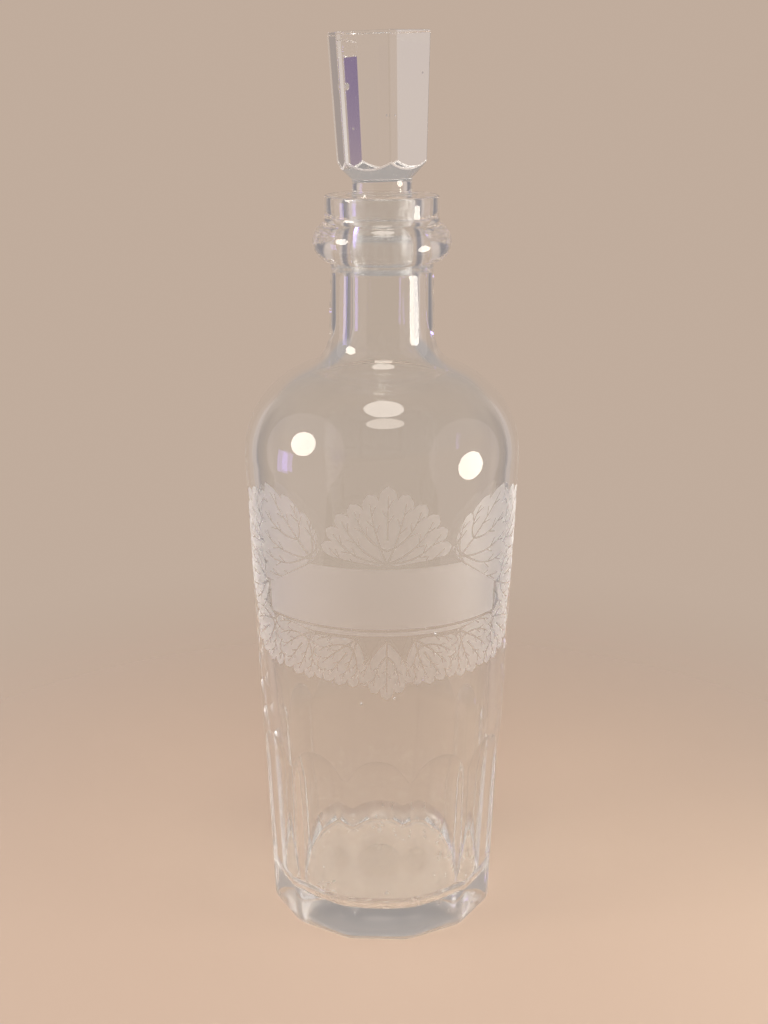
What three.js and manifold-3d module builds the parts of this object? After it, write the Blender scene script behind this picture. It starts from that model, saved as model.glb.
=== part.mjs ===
// A glass spirit bottle with flat-cut panels round its lower body, and its six-sided ground stopper.
// Millimetres, +Z up, origin at the centre of the foot. The front of the bottle faces -Y.

import * as THREE from 'three';
import { mergeVertices } from 'three/addons/utils/BufferGeometryUtils.js';
import Module from 'manifold-3d';

const wasm = await Module();
wasm.setup();

// Outside of the bottle, from the table up
const footRadius = 37.9; // of the body's cone where it would meet the table
const shoulderRadius = 44; // widest part of the body
const shoulderHeight = 157; // of the shoulder's centre above the table
const shoulderRound = 30;
const neckFillet = 10; // between shoulder and neck
const neckFootRadius = 16.7;
const neckTopRadius = 16;
const neckLength = 22.4; // straight part, from the fillet to the ring
const ringReach = 5.5; // how far the ring stands out from the neck
const ringHeight = 12.6;
const collarReach = 1.7; // how far the collar stands out from the neck
const collarHeight = 8.1; // from the ring to the rim
const rimRound = 0.8;
const footBevel = 0.8;
const puntRadius = 17; // shallow polished dish under the foot
const puntDepth = 1.2;

// Flat-cut panels
const panelCount = 12;
const panelTop = 66.7; // height of each panel's arch
const panelTurn = THREE.MathUtils.degToRad(-2); // of the front panel, from -Y towards +X
const ridgeSink = 0.1; // how far the ridges between panels lie under the cone
const wheelRadius = 60; // of the grinding wheel, which shapes the arch

// Inside of the bottle
const bodyWall = 3.8; // at the shoulder
const panelWall = 3.9; // behind a panel, at the foot
const baseThickness = 8.5; // at the edge of the floor
const floorRise = 1.5; // of the floor's middle
const heelRound = 7;
const throatRound = 14; // between the shoulder and the bore
const boreRadius = 9.5;
const seatFlare = 1; // the ground seat is this much wider at the rim than the bore
const seatLength = 24;

// Stopper
const seatClearance = 0.2;
const plugInset = 1; // the plug starts this far below the rim
const plugLength = 22; // from there to its tip
const plugChamfer = 0.6;
const shankStep = 1; // the shank is this much thinner than the plug
const shankLength = 4.7; // seen between the rim and the head
const headSides = 6;
const headHeight = 42.7;
const headFootRadius = 14.3; // to the corners
const headTopRadius = 16.45; // to the corners
const headSlope = 1; // rise over run of the cone under the head
const headTurn = THREE.MathUtils.degToRad(11); // of one corner, from -Y towards +X
const headLean = THREE.MathUtils.degToRad(-1.5); // from +Z towards +X

// Fineness of the round faces, and how far a cutter or a joined piece reaches past a face
const aroundSteps = panelCount * 4;
const arcSteps = 4;
const longArcSteps = 8;
const overrun = 2;

const quarterTurn = Math.PI / 2;
const halfPanel = Math.PI / panelCount;

// Points on an arc in the plane of radius and height.
function arc(centreRadius, centreHeight, size, from, to, steps) {
  const points = [];
  for (let i = 0; i <= steps; i += 1) {
    const angle = from + ((to - from) * i) / steps;
    points.push(new THREE.Vector2(
      centreRadius + size * Math.cos(angle),
      centreHeight + size * Math.sin(angle),
    ));
  }
  return points;
}

// A profile of radius and height turned about +Z. One of its edges lies at the given angle from -Y.
function turned(profile, edgeAngle) {
  const geometry = new THREE.LatheGeometry(profile, aroundSteps, edgeAngle);
  return geometry.rotateX(quarterTurn);
}

// A closed solid from a geometry, without the faces that collapse on the axis.
function solidOf(geometry) {
  const bare = geometry.clone();
  bare.deleteAttribute('normal');
  bare.deleteAttribute('uv');
  const merged = mergeVertices(bare, 1e-4);
  const corners = merged.index.array;
  const kept = [];
  for (let i = 0; i < corners.length; i += 3) {
    const [a, b, c] = corners.subarray(i, i + 3);
    if (a !== b && b !== c && c !== a) kept.push(a, b, c);
  }
  return new wasm.Manifold(new wasm.Mesh({
    numProp: 3,
    vertProperties: merged.attributes.position.array,
    triVerts: Uint32Array.from(kept),
  }));
}

// A geometry from a closed solid.
function geometryOf(solid) {
  const mesh = solid.getMesh();
  const geometry = new THREE.BufferGeometry();
  geometry.setAttribute('position', new THREE.BufferAttribute(mesh.vertProperties, 3));
  geometry.setIndex(new THREE.BufferAttribute(mesh.triVerts, 1));
  geometry.computeVertexNormals();
  return geometry;
}

// Body cone, tangent to the shoulder's round
const shoulderCentre = shoulderRadius - shoulderRound;
const coneAngle = Math.atan((shoulderRadius - footRadius) / shoulderHeight);
const coneTop = arc(shoulderCentre, shoulderHeight, shoulderRound, -coneAngle, 0, 1)[0];
const coneTaper = (coneTop.x - footRadius) / coneTop.y;
const coneRadius = (height) => footRadius + coneTaper * height;
const panelApothem = (height) => (coneRadius(height) - ridgeSink) * Math.cos(halfPanel);

// A fillet between an upright line at a radius and a dome, outside the dome and below the line.
function filletAgainstDome(lineRadius, size, domeSize) {
  const across = lineRadius + size - shoulderCentre;
  const up = Math.sqrt((domeSize + size) ** 2 - across ** 2);
  return {
    centreRadius: lineRadius + size,
    centreHeight: shoulderHeight + up,
    domeAngle: Math.atan2(up, across),
  };
}

// Heights up the neck
const neckRound = filletAgainstDome(neckFootRadius, neckFillet, shoulderRound);
const ringCentre = neckRound.centreHeight + neckLength + ringHeight / 2;
const ringTopAngle = Math.acos(collarReach / ringReach);
const rimHeight = ringCentre + (ringHeight / 2) * Math.sin(ringTopAngle) + collarHeight;

// Outside profile of the bottle, from the middle of the foot to the rim.
function outsideProfile() {
  const footRim = panelApothem(0) - footBevel;
  const bevelTop = (footRadius - footRim) / (1 - coneTaper);
  const puntSize = (puntRadius ** 2 + puntDepth ** 2) / (2 * puntDepth);
  const puntAngle = Math.asin(puntRadius / puntSize);
  const ring = arc(0, 0, 1, -quarterTurn, ringTopAngle, longArcSteps).map((point) => new THREE.Vector2(
    neckTopRadius + ringReach * point.x,
    ringCentre + (ringHeight / 2) * point.y,
  ));
  const collarRadius = neckTopRadius + collarReach;
  return [
    ...arc(0, puntDepth - puntSize, puntSize, quarterTurn, quarterTurn - puntAngle, arcSteps),
    new THREE.Vector2(footRim, 0),
    new THREE.Vector2(coneRadius(bevelTop), bevelTop),
    ...arc(shoulderCentre, shoulderHeight, shoulderRound, -coneAngle, neckRound.domeAngle, longArcSteps),
    ...arc(
      neckRound.centreRadius, neckRound.centreHeight, neckFillet,
      neckRound.domeAngle + Math.PI, Math.PI, arcSteps,
    ).slice(1),
    ...ring,
    ...arc(collarRadius - rimRound, rimHeight - rimRound, rimRound, 0, quarterTurn, arcSteps),
  ];
}

// Inside profile of the bottle, from the rim to the middle of the floor.
function insideProfile() {
  const mouthRadius = boreRadius + seatFlare;
  const domeSize = shoulderRound - bodyWall;
  const throat = filletAgainstDome(boreRadius, throatRound, domeSize);
  const floorRadius = panelApothem(0) - panelWall;
  const floorEdge = floorRadius - heelRound;
  const floorSize = (floorEdge ** 2 + floorRise ** 2) / (2 * floorRise);
  const floorAngle = Math.asin(floorEdge / floorSize);
  return [
    ...arc(mouthRadius + rimRound, rimHeight - rimRound, rimRound, quarterTurn, Math.PI, arcSteps),
    new THREE.Vector2(boreRadius, rimHeight - seatLength),
    ...arc(
      throat.centreRadius, throat.centreHeight, throatRound,
      Math.PI, throat.domeAngle + Math.PI, arcSteps,
    ),
    ...arc(shoulderCentre, shoulderHeight, domeSize, throat.domeAngle, -coneAngle, longArcSteps).slice(1),
    ...arc(floorEdge, baseThickness + heelRound, heelRound, 0, -quarterTurn, arcSteps),
    ...arc(
      0, baseThickness + floorRise - floorSize, floorSize,
      quarterTurn - floorAngle, quarterTurn, arcSteps,
    ).slice(1),
  ];
}

// What the grinding wheel takes away for the panel that faces -Y: flat, then curving out at the arch.
function panelCutter() {
  const lean = Math.atan(coneTaper * Math.cos(halfPanel));
  const depth = coneRadius(panelTop) - panelApothem(panelTop);
  const runOut = Math.sqrt(2 * wheelRadius * depth - depth ** 2);
  const flatTop = panelTop - runOut;
  const reach = Math.asin((runOut + overrun) / wheelRadius);
  const sweep = arc(
    panelApothem(flatTop) + wheelRadius * Math.cos(lean), flatTop - wheelRadius * Math.sin(lean),
    wheelRadius, Math.PI - lean, Math.PI - lean - reach, longArcSteps,
  );
  const outer = shoulderRadius + overrun;
  const outline = new THREE.Shape([
    new THREE.Vector2(panelApothem(-overrun), -overrun),
    new THREE.Vector2(outer, -overrun),
    new THREE.Vector2(outer, sweep.at(-1).y),
    ...sweep.reverse(),
  ]);
  const width = 2 * shoulderRadius * Math.tan(halfPanel);
  const geometry = new THREE.ExtrudeGeometry(outline, { depth: width, bevelEnabled: false });
  const outward = new THREE.Vector3(0, -1, 0);
  const upward = new THREE.Vector3(0, 0, 1);
  const sideways = new THREE.Vector3().crossVectors(outward, upward);
  return geometry
    .translate(0, 0, -width / 2)
    .applyMatrix4(new THREE.Matrix4().makeBasis(outward, upward, sideways));
}

function bottleGeometry() {
  const blank = turned([...outsideProfile(), ...insideProfile()], panelTurn + halfPanel);
  const cutter = panelCutter();
  let glass = solidOf(blank);
  for (let i = 0; i < panelCount; i += 1) {
    glass = glass.subtract(solidOf(cutter.clone().rotateZ(panelTurn + 2 * halfPanel * i)));
  }
  return geometryOf(glass);
}

// Radius of the stopper's plug at a depth below the rim.
function plugRadius(depth) {
  return boreRadius + seatFlare * (1 - depth / seatLength) - seatClearance;
}

// The stopper stands on the plane of the rim, with its plug below it.
function stopperGeometry() {
  const shankRadius = plugRadius(plugInset) - shankStep;
  const tipDepth = plugInset + plugLength;
  const plug = turned([
    new THREE.Vector2(0, -tipDepth),
    new THREE.Vector2(plugRadius(tipDepth) - plugChamfer, -tipDepth),
    new THREE.Vector2(plugRadius(tipDepth - plugChamfer), plugChamfer - tipDepth),
    new THREE.Vector2(plugRadius(plugInset), -plugInset),
    new THREE.Vector2(shankRadius, -plugInset),
    new THREE.Vector2(shankRadius, shankLength + overrun),
    new THREE.Vector2(0, shankLength + overrun),
  ], 0);
  const prism = new THREE.CylinderGeometry(
    headTopRadius, headFootRadius, headHeight, headSides, 1, false, headTurn,
  ).rotateX(quarterTurn).translate(0, 0, headHeight / 2);
  const coneReach = headTopRadius + overrun;
  const cone = turned([
    new THREE.Vector2(0, 0),
    new THREE.Vector2(shankRadius, 0),
    new THREE.Vector2(coneReach, (coneReach - shankRadius) * headSlope),
    new THREE.Vector2(coneReach, headHeight + overrun),
    new THREE.Vector2(0, headHeight + overrun),
  ], 0);
  const placed = (geometry) => solidOf(geometry.rotateY(headLean).translate(0, 0, shankLength));
  const head = placed(prism).intersect(placed(cone));
  return geometryOf(solidOf(plug).add(head));
}

const bottle = new THREE.Mesh(bottleGeometry(), new THREE.MeshStandardMaterial({
  color: 0xe9f0f0, roughness: 0.03, metalness: 0, transparent: true, opacity: 0.35,
}));
bottle.name = 'bottle';

const stopper = new THREE.Mesh(stopperGeometry(), new THREE.MeshStandardMaterial({
  color: 0xeef1f3, roughness: 0.05, metalness: 0, transparent: true, opacity: 0.35,
}));
stopper.name = 'stopper';
stopper.position.z = rimHeight;

const bottleAndStopper = new THREE.Group();
bottleAndStopper.add(bottle, stopper);

export default bottleAndStopper;
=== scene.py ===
"""Dress the glass spirit bottle: flat-cut panels, an etched vine garland, a ringed neck and a ground stopper.

Lengths in the classes are millimetres, as on a glass cutter's drawing, and MM turns them into the frame's
metres. Angles round the bottle are degrees from the front, -Y, towards the right, +X.
"""

import logging
import math
from collections.abc import Callable, Sequence
from dataclasses import dataclass, field, replace
from enum import Enum, IntEnum

import bpy
import numpy as np
from mathutils import Matrix, Vector
from mathutils.geometry import delaunay_2d_cdt


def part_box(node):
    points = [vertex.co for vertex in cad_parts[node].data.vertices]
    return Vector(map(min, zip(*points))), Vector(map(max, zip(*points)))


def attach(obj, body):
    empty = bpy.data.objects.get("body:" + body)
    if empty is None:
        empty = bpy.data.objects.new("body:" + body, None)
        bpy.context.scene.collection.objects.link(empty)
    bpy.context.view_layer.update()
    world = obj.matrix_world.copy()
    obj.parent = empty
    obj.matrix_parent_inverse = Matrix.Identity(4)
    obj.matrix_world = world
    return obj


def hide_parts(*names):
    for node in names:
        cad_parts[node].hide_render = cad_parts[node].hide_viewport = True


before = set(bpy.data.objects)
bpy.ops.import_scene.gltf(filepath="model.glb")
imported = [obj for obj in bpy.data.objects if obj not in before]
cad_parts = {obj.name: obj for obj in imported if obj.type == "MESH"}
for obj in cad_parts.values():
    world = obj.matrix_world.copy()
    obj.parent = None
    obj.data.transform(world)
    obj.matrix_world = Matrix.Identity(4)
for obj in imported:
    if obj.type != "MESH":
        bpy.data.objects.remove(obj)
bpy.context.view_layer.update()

MM = 0.001
FULL_TURN = 360.0
MERGE_DIGITS = 4
ANGLE_DIGITS = 7
HALVINGS = 40
SAME_ANGLE = 1e-6
TINY = 1e-9
SAME_SURFACE = 0.5
HULL_TRIANGLES = 0
RAMP_MIDDLE = 0.5
NO_TOP = 1000.0
GRAIN_DETAIL = 3.0
GRAIN_ROUGHNESS = 0.6
GRAIN_SPREAD = (0.32, 0.68)
SEED_STRETCH = 1.4
SEED_SUBDIVISIONS = 2

Point2 = tuple[float, float]
Polygon = list[Point2]
Colour = tuple[float, float, float]
ShapeAreas = tuple[int, int, list[int]]
ByColumn = Callable[[float, int], float]
NormalRule = Callable[[np.ndarray, np.ndarray], np.ndarray]

log = logging.getLogger("bottle")


class Surface(IntEnum):
    """How a stretch of the glass is finished."""

    POLISHED = 0
    ETCHED = 1
    GROUND = 2
    # Dried film; tinted darker on the upper heel as a painted shade.
    CLOUDED = 3
    # Rougher strips; on the bottle's arches also tinted darker as a painted shade line.
    WORN = 4


class Facing(IntEnum):
    """Which form gives a face corner its normal; a flat is given by its own number from 0 up."""

    SMOOTH = -1
    WALL = -2
    CONE = -3
    TOP = -4


class LampShape(Enum):
    """Outlines of the studio's lamps, by Blender's names."""

    ROUND = "DISK"
    OBLONG = "RECTANGLE"
    OVAL = "ELLIPSE"


class Fade(Enum):
    """Courses of a fade, by Blender's names."""

    EVEN = "LINEAR"
    SMOOTH = "SMOOTHSTEP"


def arc(centre: Point2, size: float, start: float, end: float, steps: int) -> Polygon:
    """Points along a circular arc in the plane of radius and height.

    Args:
        centre: The arc's centre.
        size: The arc's radius.
        start: Angle of the first point, in degrees from the outward direction towards up.
        end: Angle of the last point.
        steps: How many steps there are between the two.

    Returns:
        The points, both ends among them.
    """
    angles = np.radians(np.linspace(start, end, steps + 1))
    return [(centre[0] + size * math.cos(a), centre[1] + size * math.sin(a)) for a in angles]


def line(start: Point2, end: Point2, steps: int) -> Polygon:
    """Points along a straight line, both ends among them."""
    return [tuple(np.add(start, np.subtract(end, start) * i / steps)) for i in range(steps + 1)]


def around(angle: float, radius: float) -> Point2:
    """X and Y of a point at an angle from the front and a radius from the axis."""
    turn = math.radians(angle)
    return radius * math.sin(turn), -radius * math.cos(turn)


def strip(course: Polygon, start_width: float, end_width: float) -> Polygon:
    """Outline of a line drawn along a course.

    Args:
        course: The points that its middle follows.
        start_width: Its width at the first point.
        end_width: Its width at the last point.

    Returns:
        The outline, down one side and back up the other.
    """
    points = np.array(course)
    along = np.gradient(points, axis=0)
    along /= np.linalg.norm(along, axis=1)[:, None]
    half = np.linspace(start_width, end_width, len(points))[:, None] / 2
    side = np.stack([along[:, 1], -along[:, 0]], axis=1) * half
    return [tuple(p) for p in points + side] + [tuple(p) for p in (points - side)[::-1]]


class NodeSketch:
    """Short hand for wiring one node tree."""

    def __init__(self, tree: bpy.types.NodeTree) -> None:
        """Keep the tree that the nodes go into."""
        self.tree = tree

    @classmethod
    def afresh(cls, owner: bpy.types.Material | bpy.types.World) -> "NodeSketch":
        """Start on the tree of a material or a world, emptied.

        Args:
            owner: The material or the world.

        Returns:
            The sketch of its tree.
        """
        owner.use_nodes = True
        owner.node_tree.nodes.clear()
        return cls(owner.node_tree)

    def feed(self, socket: bpy.types.NodeSocket, value: object) -> None:
        """Link a socket to another one, or set it to a plain value.

        Args:
            socket: The input.
            value: A socket to link, or the plain value.
        """
        if isinstance(value, bpy.types.NodeSocket):
            self.tree.links.new(value, socket)
        else:
            socket.default_value = value

    def add(self, kind: str, inputs: dict | None = None, **settings: object) -> bpy.types.Node:
        """Add a node.

        Args:
            kind: Blender's name for the node's type.
            inputs: Sockets or plain values by the name or number of the input.
            settings: The node's own properties, set before its inputs.

        Returns:
            The new node.
        """
        node = self.tree.nodes.new(kind)
        for name, value in settings.items():
            setattr(node, name, value)
        for key, value in (inputs or {}).items():
            self.feed(node.inputs[key], value)
        return node

    def math(self, operation: str, *values: object) -> bpy.types.NodeSocket:
        """Add a Math node on sockets or numbers and give its output."""
        return self.add("ShaderNodeMath", dict(enumerate(values)), operation=operation).outputs[0]

    def place(self) -> bpy.types.NodeSocket:
        """Give the place of a point on its piece."""
        return self.add("ShaderNodeTexCoord").outputs["Object"]

    def length(self, vector: bpy.types.NodeSocket) -> bpy.types.NodeSocket:
        """Give the length of a vector."""
        return self.add("ShaderNodeVectorMath", {0: vector}, operation="LENGTH").outputs["Value"]

    def attribute(self, name: str, kind: str) -> bpy.types.NodeSocket:
        """Give a named attribute of the mesh."""
        return self.add("GeometryNodeInputNamedAttribute", {"Name": name}, data_type=kind).outputs[0]

    def mix(self, share: bpy.types.NodeSocket, first: object, second: object) -> bpy.types.NodeSocket:
        """Add a Mix node on two colours and give its output."""
        return self.add("ShaderNodeMixRGB", {0: share, 1: first, 2: second}).outputs[0]

    def fade(
        self, value: bpy.types.NodeSocket, start: float, end: float, course: Fade = Fade.SMOOTH,
    ) -> bpy.types.NodeSocket:
        """Add a Map Range node.

        Args:
            value: What it runs over.
            start: Where it gives 0.
            end: Where it gives 1.
            course: How it goes from one to the other.

        Returns:
            Its output.
        """
        inputs = {"Value": value, "From Min": start, "From Max": end}
        return self.add("ShaderNodeMapRange", inputs, interpolation_type=course.value).outputs[0]


def socketed_tree(
    name: str, kind: str, inputs: dict[str, str], outputs: dict[str, str],
) -> bpy.types.NodeTree:
    """Start a node tree with named sockets.

    Args:
        name: The tree's name.
        kind: Blender's name for the tree's type.
        inputs: Types of the inputs by name.
        outputs: Types of the outputs by name.

    Returns:
        The tree, which holds no nodes yet.
    """
    tree = bpy.data.node_groups.new(name, kind)
    for direction, sockets in (("INPUT", inputs), ("OUTPUT", outputs)):
        for title, socket_type in sockets.items():
            tree.interface.new_socket(name=title, in_out=direction, socket_type=socket_type)
    return tree


def put_object(name: str, data: bpy.types.ID) -> bpy.types.Object:
    """Make an object and put it in the scene.

    Args:
        name: Its name.
        data: Its mesh, lamp or camera.

    Returns:
        The object.
    """
    obj = bpy.data.objects.new(name, data)
    bpy.context.scene.collection.objects.link(obj)
    return obj


def run_nodes(obj: bpy.types.Object, tree: bpy.types.NodeTree, values: dict[str, object]) -> None:
    """Run a Geometry Nodes tree on an object and leave its result as a plain mesh.

    Args:
        obj: The object whose mesh is replaced.
        tree: The tree.
        values: Values of the tree's inputs by name.
    """
    modifier = obj.modifiers.new(tree.name, "NODES")
    modifier.node_group = tree
    for item in tree.interface.items_tree:
        if item.in_out == "INPUT" and item.name in values:
            modifier[item.identifier] = values[item.name]
    evaluated = obj.evaluated_get(bpy.context.evaluated_depsgraph_get())
    result = bpy.data.meshes.new_from_object(evaluated)
    obj.modifiers.clear()
    old = obj.data
    obj.data = result
    bpy.data.meshes.remove(old)
    result.name = obj.name


@dataclass(frozen=True)
class GlassFinish:
    """One finish of the colourless glass, as a procedural material."""

    name: str
    tint: Colour = (0.95, 0.968, 0.975)
    refraction: float = 1.52
    transmission: float = 1.0
    roughness: Point2 = (0.0, 0.03)
    grain_scale: float = 60.0
    grain_stretch: float = 1.0
    bump: float = 0.02
    bump_depth: float = 0.2
    shadow: Colour = (0.82, 0.83, 0.84)

    def material(self) -> bpy.types.Material:
        """Build the material: rough and uneven by its grain, and letting the lamps' light through.

        Returns:
            The material.
        """
        material = bpy.data.materials.new(self.name)
        sketch = NodeSketch.afresh(material)
        stretch = {"Vector": sketch.place(), "Scale": (1.0, 1.0, self.grain_stretch)}
        grain = sketch.add("ShaderNodeGroup", {
            "Place": sketch.add("ShaderNodeMapping", stretch).outputs["Vector"],
            "Scale": self.grain_scale,
            "Smooth": self.roughness[0],
            "Rough": self.roughness[1],
        }, node_tree=glass_grain())
        bump = sketch.add("ShaderNodeBump", {
            "Strength": self.bump, "Distance": self.bump_depth * MM, "Height": grain.outputs["Height"],
        })
        glass = sketch.add("ShaderNodeBsdfPrincipled", {
            "Base Color": self.colour(sketch),
            "Metallic": 0.0,
            "Roughness": self.roughness_socket(sketch, grain),
            "IOR": self.refraction,
            "Transmission Weight": self.transmission,
            "Normal": bump.outputs["Normal"],
        })
        clear = sketch.add("ShaderNodeBsdfTransparent", {"Color": (*self.shadow, 1.0)})
        to_lamp = sketch.add("ShaderNodeLightPath").outputs["Is Shadow Ray"]
        mix = sketch.add("ShaderNodeMixShader", {0: to_lamp, 1: glass.outputs[0], 2: clear.outputs[0]})
        sketch.add("ShaderNodeOutputMaterial", {"Surface": mix.outputs[0]})
        return material

    def colour(self, sketch: NodeSketch) -> object:
        """Give the colour, or the socket that it comes from."""
        return (*self.tint, 1.0)

    def roughness_socket(self, sketch: NodeSketch, grain: bpy.types.Node) -> bpy.types.NodeSocket:
        """Give the socket that the roughness comes from."""
        return grain.outputs["Roughness"]


@dataclass(frozen=True)
class CloudedPaintedShadeFinish(GlassFinish):
    """Glass with a dried film in a ring on the floor of the bottle, and a darker tint where the film ends
    high on the heel, a painted shade.
    """

    ring_start: float = 12.0
    ring_full: float = 20.0
    # The film turns to a darker tint between these heights: a painted shade on the upper heel.
    heel_shade_start: float = 10.5
    heel_shade_full: float = 13.0
    painted_heel_shade_tint: Colour = (0.74, 0.72, 0.73)

    def colour(self, sketch: NodeSketch) -> object:
        """Darken the film towards the top of the heel, a painted shade.

        Args:
            sketch: The material's tree.

        Returns:
            The socket of the colour.
        """
        height = sketch.add("ShaderNodeSeparateXYZ", {0: sketch.place()}).outputs["Z"]
        # Painted shade: the tint darkens with height up the heel.
        heel_shade = sketch.fade(height, self.heel_shade_start * MM, self.heel_shade_full * MM)
        return sketch.mix(heel_shade, (*self.tint, 1.0), (*self.painted_heel_shade_tint, 1.0))

    def roughness_socket(self, sketch: NodeSketch, grain: bpy.types.Node) -> bpy.types.NodeSocket:
        """Fade the grain's roughness out towards the axis.

        Args:
            sketch: The material's tree.
            grain: The node of the grain.

        Returns:
            The socket of the roughness.
        """
        level = {0: sketch.place(), 1: (1.0, 1.0, 0.0)}
        flat = sketch.add("ShaderNodeVectorMath", level, operation="MULTIPLY").outputs[0]
        ring = sketch.fade(sketch.length(flat), self.ring_start * MM, self.ring_full * MM)
        return sketch.math("MULTIPLY", grain.outputs["Roughness"], ring)


def glass_grain() -> bpy.types.NodeTree:
    """Give the shared shader group of fine grain and faint wear, and build it the first time.

    Returns:
        The group's tree.
    """
    name = "glass_grain"
    if name in bpy.data.node_groups:
        return bpy.data.node_groups[name]
    tree = socketed_tree(name, "ShaderNodeTree", {
        "Place": "NodeSocketVector",
        "Scale": "NodeSocketFloat",
        "Smooth": "NodeSocketFloat",
        "Rough": "NodeSocketFloat",
    }, {"Roughness": "NodeSocketFloat", "Height": "NodeSocketFloat"})
    sketch = NodeSketch(tree)
    given = sketch.add("NodeGroupInput").outputs
    fine = sketch.add("ShaderNodeTexNoise", {
        "Vector": given["Place"],
        "Scale": given["Scale"],
        "Detail": GRAIN_DETAIL,
        "Roughness": GRAIN_ROUGHNESS,
    })
    low, high = GRAIN_SPREAD
    spread = sketch.add("ShaderNodeMapRange", {
        "Value": fine.outputs[0],
        "From Min": low,
        "From Max": high,
        "To Min": given["Smooth"],
        "To Max": given["Rough"],
    }, interpolation_type="SMOOTHSTEP")
    sketch.add("NodeGroupOutput", {"Roughness": spread.outputs[0], "Height": fine.outputs[0]})
    return tree


@dataclass
class GlassDraft:
    """Faces of one glass piece before it is a mesh, with the points that meet made one."""

    points: list[tuple[float, float, float]] = field(default_factory=list)
    insets: list[float] = field(default_factory=list)
    faces: list[list[int]] = field(default_factory=list)
    surfaces: list[int] = field(default_factory=list)
    facings: list[int] = field(default_factory=list)
    known: dict[tuple[float, float, float], int] = field(default_factory=dict)

    def point(self, x: float, y: float, z: float, inset: float = 0.0) -> int:
        """Give the number of a point, adding it if it is new.

        Args:
            x: Place of the point.
            y: Place of the point.
            z: Place of the point.
            inset: How far the point lies inside the ground face, for a round along its edge.

        Returns:
            The point's number.
        """
        key = tuple(round(value, MERGE_DIGITS) + 0.0 for value in (x, y, z)) + (inset,)
        if key not in self.known:
            self.known[key] = len(self.points)
            self.points.append((x, y, z))
            self.insets.append(inset)
        return self.known[key]

    def face(self, corners: Sequence[int], surface: Surface, facing: int | Sequence[int]) -> None:
        """Add a face, dropping corners that fell together.

        Args:
            corners: Numbers of its points, counter-clockwise from outside.
            surface: Its finish.
            facing: Where its corners' normals come from, one for all or one each.
        """
        facings = [facing] * len(corners) if isinstance(facing, int) else list(facing)
        kept = [i for i in range(len(corners)) if corners[i] != corners[i - 1]]
        if len(kept) > 2:
            self.faces.append([corners[i] for i in kept])
            self.surfaces.append(int(surface))
            self.facings.extend(facings[i] for i in kept)

    def turned(self, rows: Sequence[Sequence[int]], surface: Surface, facing: int = Facing.SMOOTH) -> None:
        """Join closed rows of points with quads; from outside, each next row lies on the left of the last.

        Args:
            rows: Numbers of the points, row by row, with as many in each.
            surface: Their finish.
            facing: Where the normals come from.
        """
        for low, high in zip(rows, rows[1:]):
            for i in range(len(low)):
                self.face([low[i - 1], low[i], high[i], high[i - 1]], surface, facing)

    def ring(self, angles: Sequence[float], radius: float, height: float, inset: float = 0.0) -> list[int]:
        """Add a level row of points round the axis and give their numbers."""
        return [self.point(*around(angle, radius), height, inset) for angle in angles]

    def take(self, mesh: bpy.types.Mesh, surface: Surface) -> None:
        """Add the faces of a mesh.

        Args:
            mesh: The mesh, which is in metres.
            surface: The finish of its faces.
        """
        numbers = [self.point(*(vertex.co / MM)) for vertex in mesh.vertices]
        for polygon in mesh.polygons:
            self.face([numbers[i] for i in polygon.vertices], surface, Facing.SMOOTH)

    def to_object(self, name: str) -> bpy.types.Object:
        """Make an object of the draft, with its finishes and insets as attributes.

        Args:
            name: The object's name.

        Returns:
            The object.
        """
        mesh = bpy.data.meshes.new(name)
        mesh.from_pydata([Vector(point) * MM for point in self.points], [], self.faces)
        mesh.attributes.new("surface", "INT", "FACE").data.foreach_set("value", self.surfaces)
        insets = [inset * MM for inset in self.insets]
        mesh.attributes.new("inset", "FLOAT", "POINT").data.foreach_set("value", insets)
        return put_object(name, mesh)


@dataclass(frozen=True)
class AirSeed:
    """A bubble of air shut in the glass, by its angle, distance from the axis, height and own radius."""

    angle: float
    radius: float
    height: float
    size: float

    @property
    def place(self) -> Vector:
        """Where it is, in metres."""
        return Vector((*around(self.angle, self.radius), self.height)) * MM


def air_seeds_tree() -> bpy.types.NodeTree:
    """Give the Geometry Nodes tree that blows a bubble at each point, and build it the first time.

    Returns:
        The tree.
    """
    name = "air_seeds"
    if name in bpy.data.node_groups:
        return bpy.data.node_groups[name]
    inputs = {"Geometry": "NodeSocketGeometry", "Stretch": "NodeSocketFloat", "Glass": "NodeSocketMaterial"}
    tree = socketed_tree(name, "GeometryNodeTree", inputs, {"Geometry": "NodeSocketGeometry"})
    sketch = NodeSketch(tree)
    given = sketch.add("NodeGroupInput").outputs
    size = sketch.attribute("size", "FLOAT")
    length = sketch.math("MULTIPLY", size, given["Stretch"])
    scale = sketch.add("ShaderNodeCombineXYZ", {"X": size, "Y": size, "Z": length}).outputs[0]
    ball = sketch.add("GeometryNodeMeshIcoSphere", {"Radius": 1.0, "Subdivisions": SEED_SUBDIVISIONS})
    hollow = sketch.add("GeometryNodeFlipFaces", {0: ball.outputs[0]}).outputs[0]
    blown = sketch.add("GeometryNodeInstanceOnPoints", {
        "Points": given["Geometry"], "Instance": hollow, "Scale": scale,
    }).outputs[0]
    whole = sketch.add("GeometryNodeRealizeInstances", {0: blown}).outputs[0]
    dressed = sketch.add("GeometryNodeSetMaterial", {"Geometry": whole, "Material": given["Glass"]})
    sketch.add("NodeGroupOutput", {0: dressed.outputs[0]})
    return tree


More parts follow.
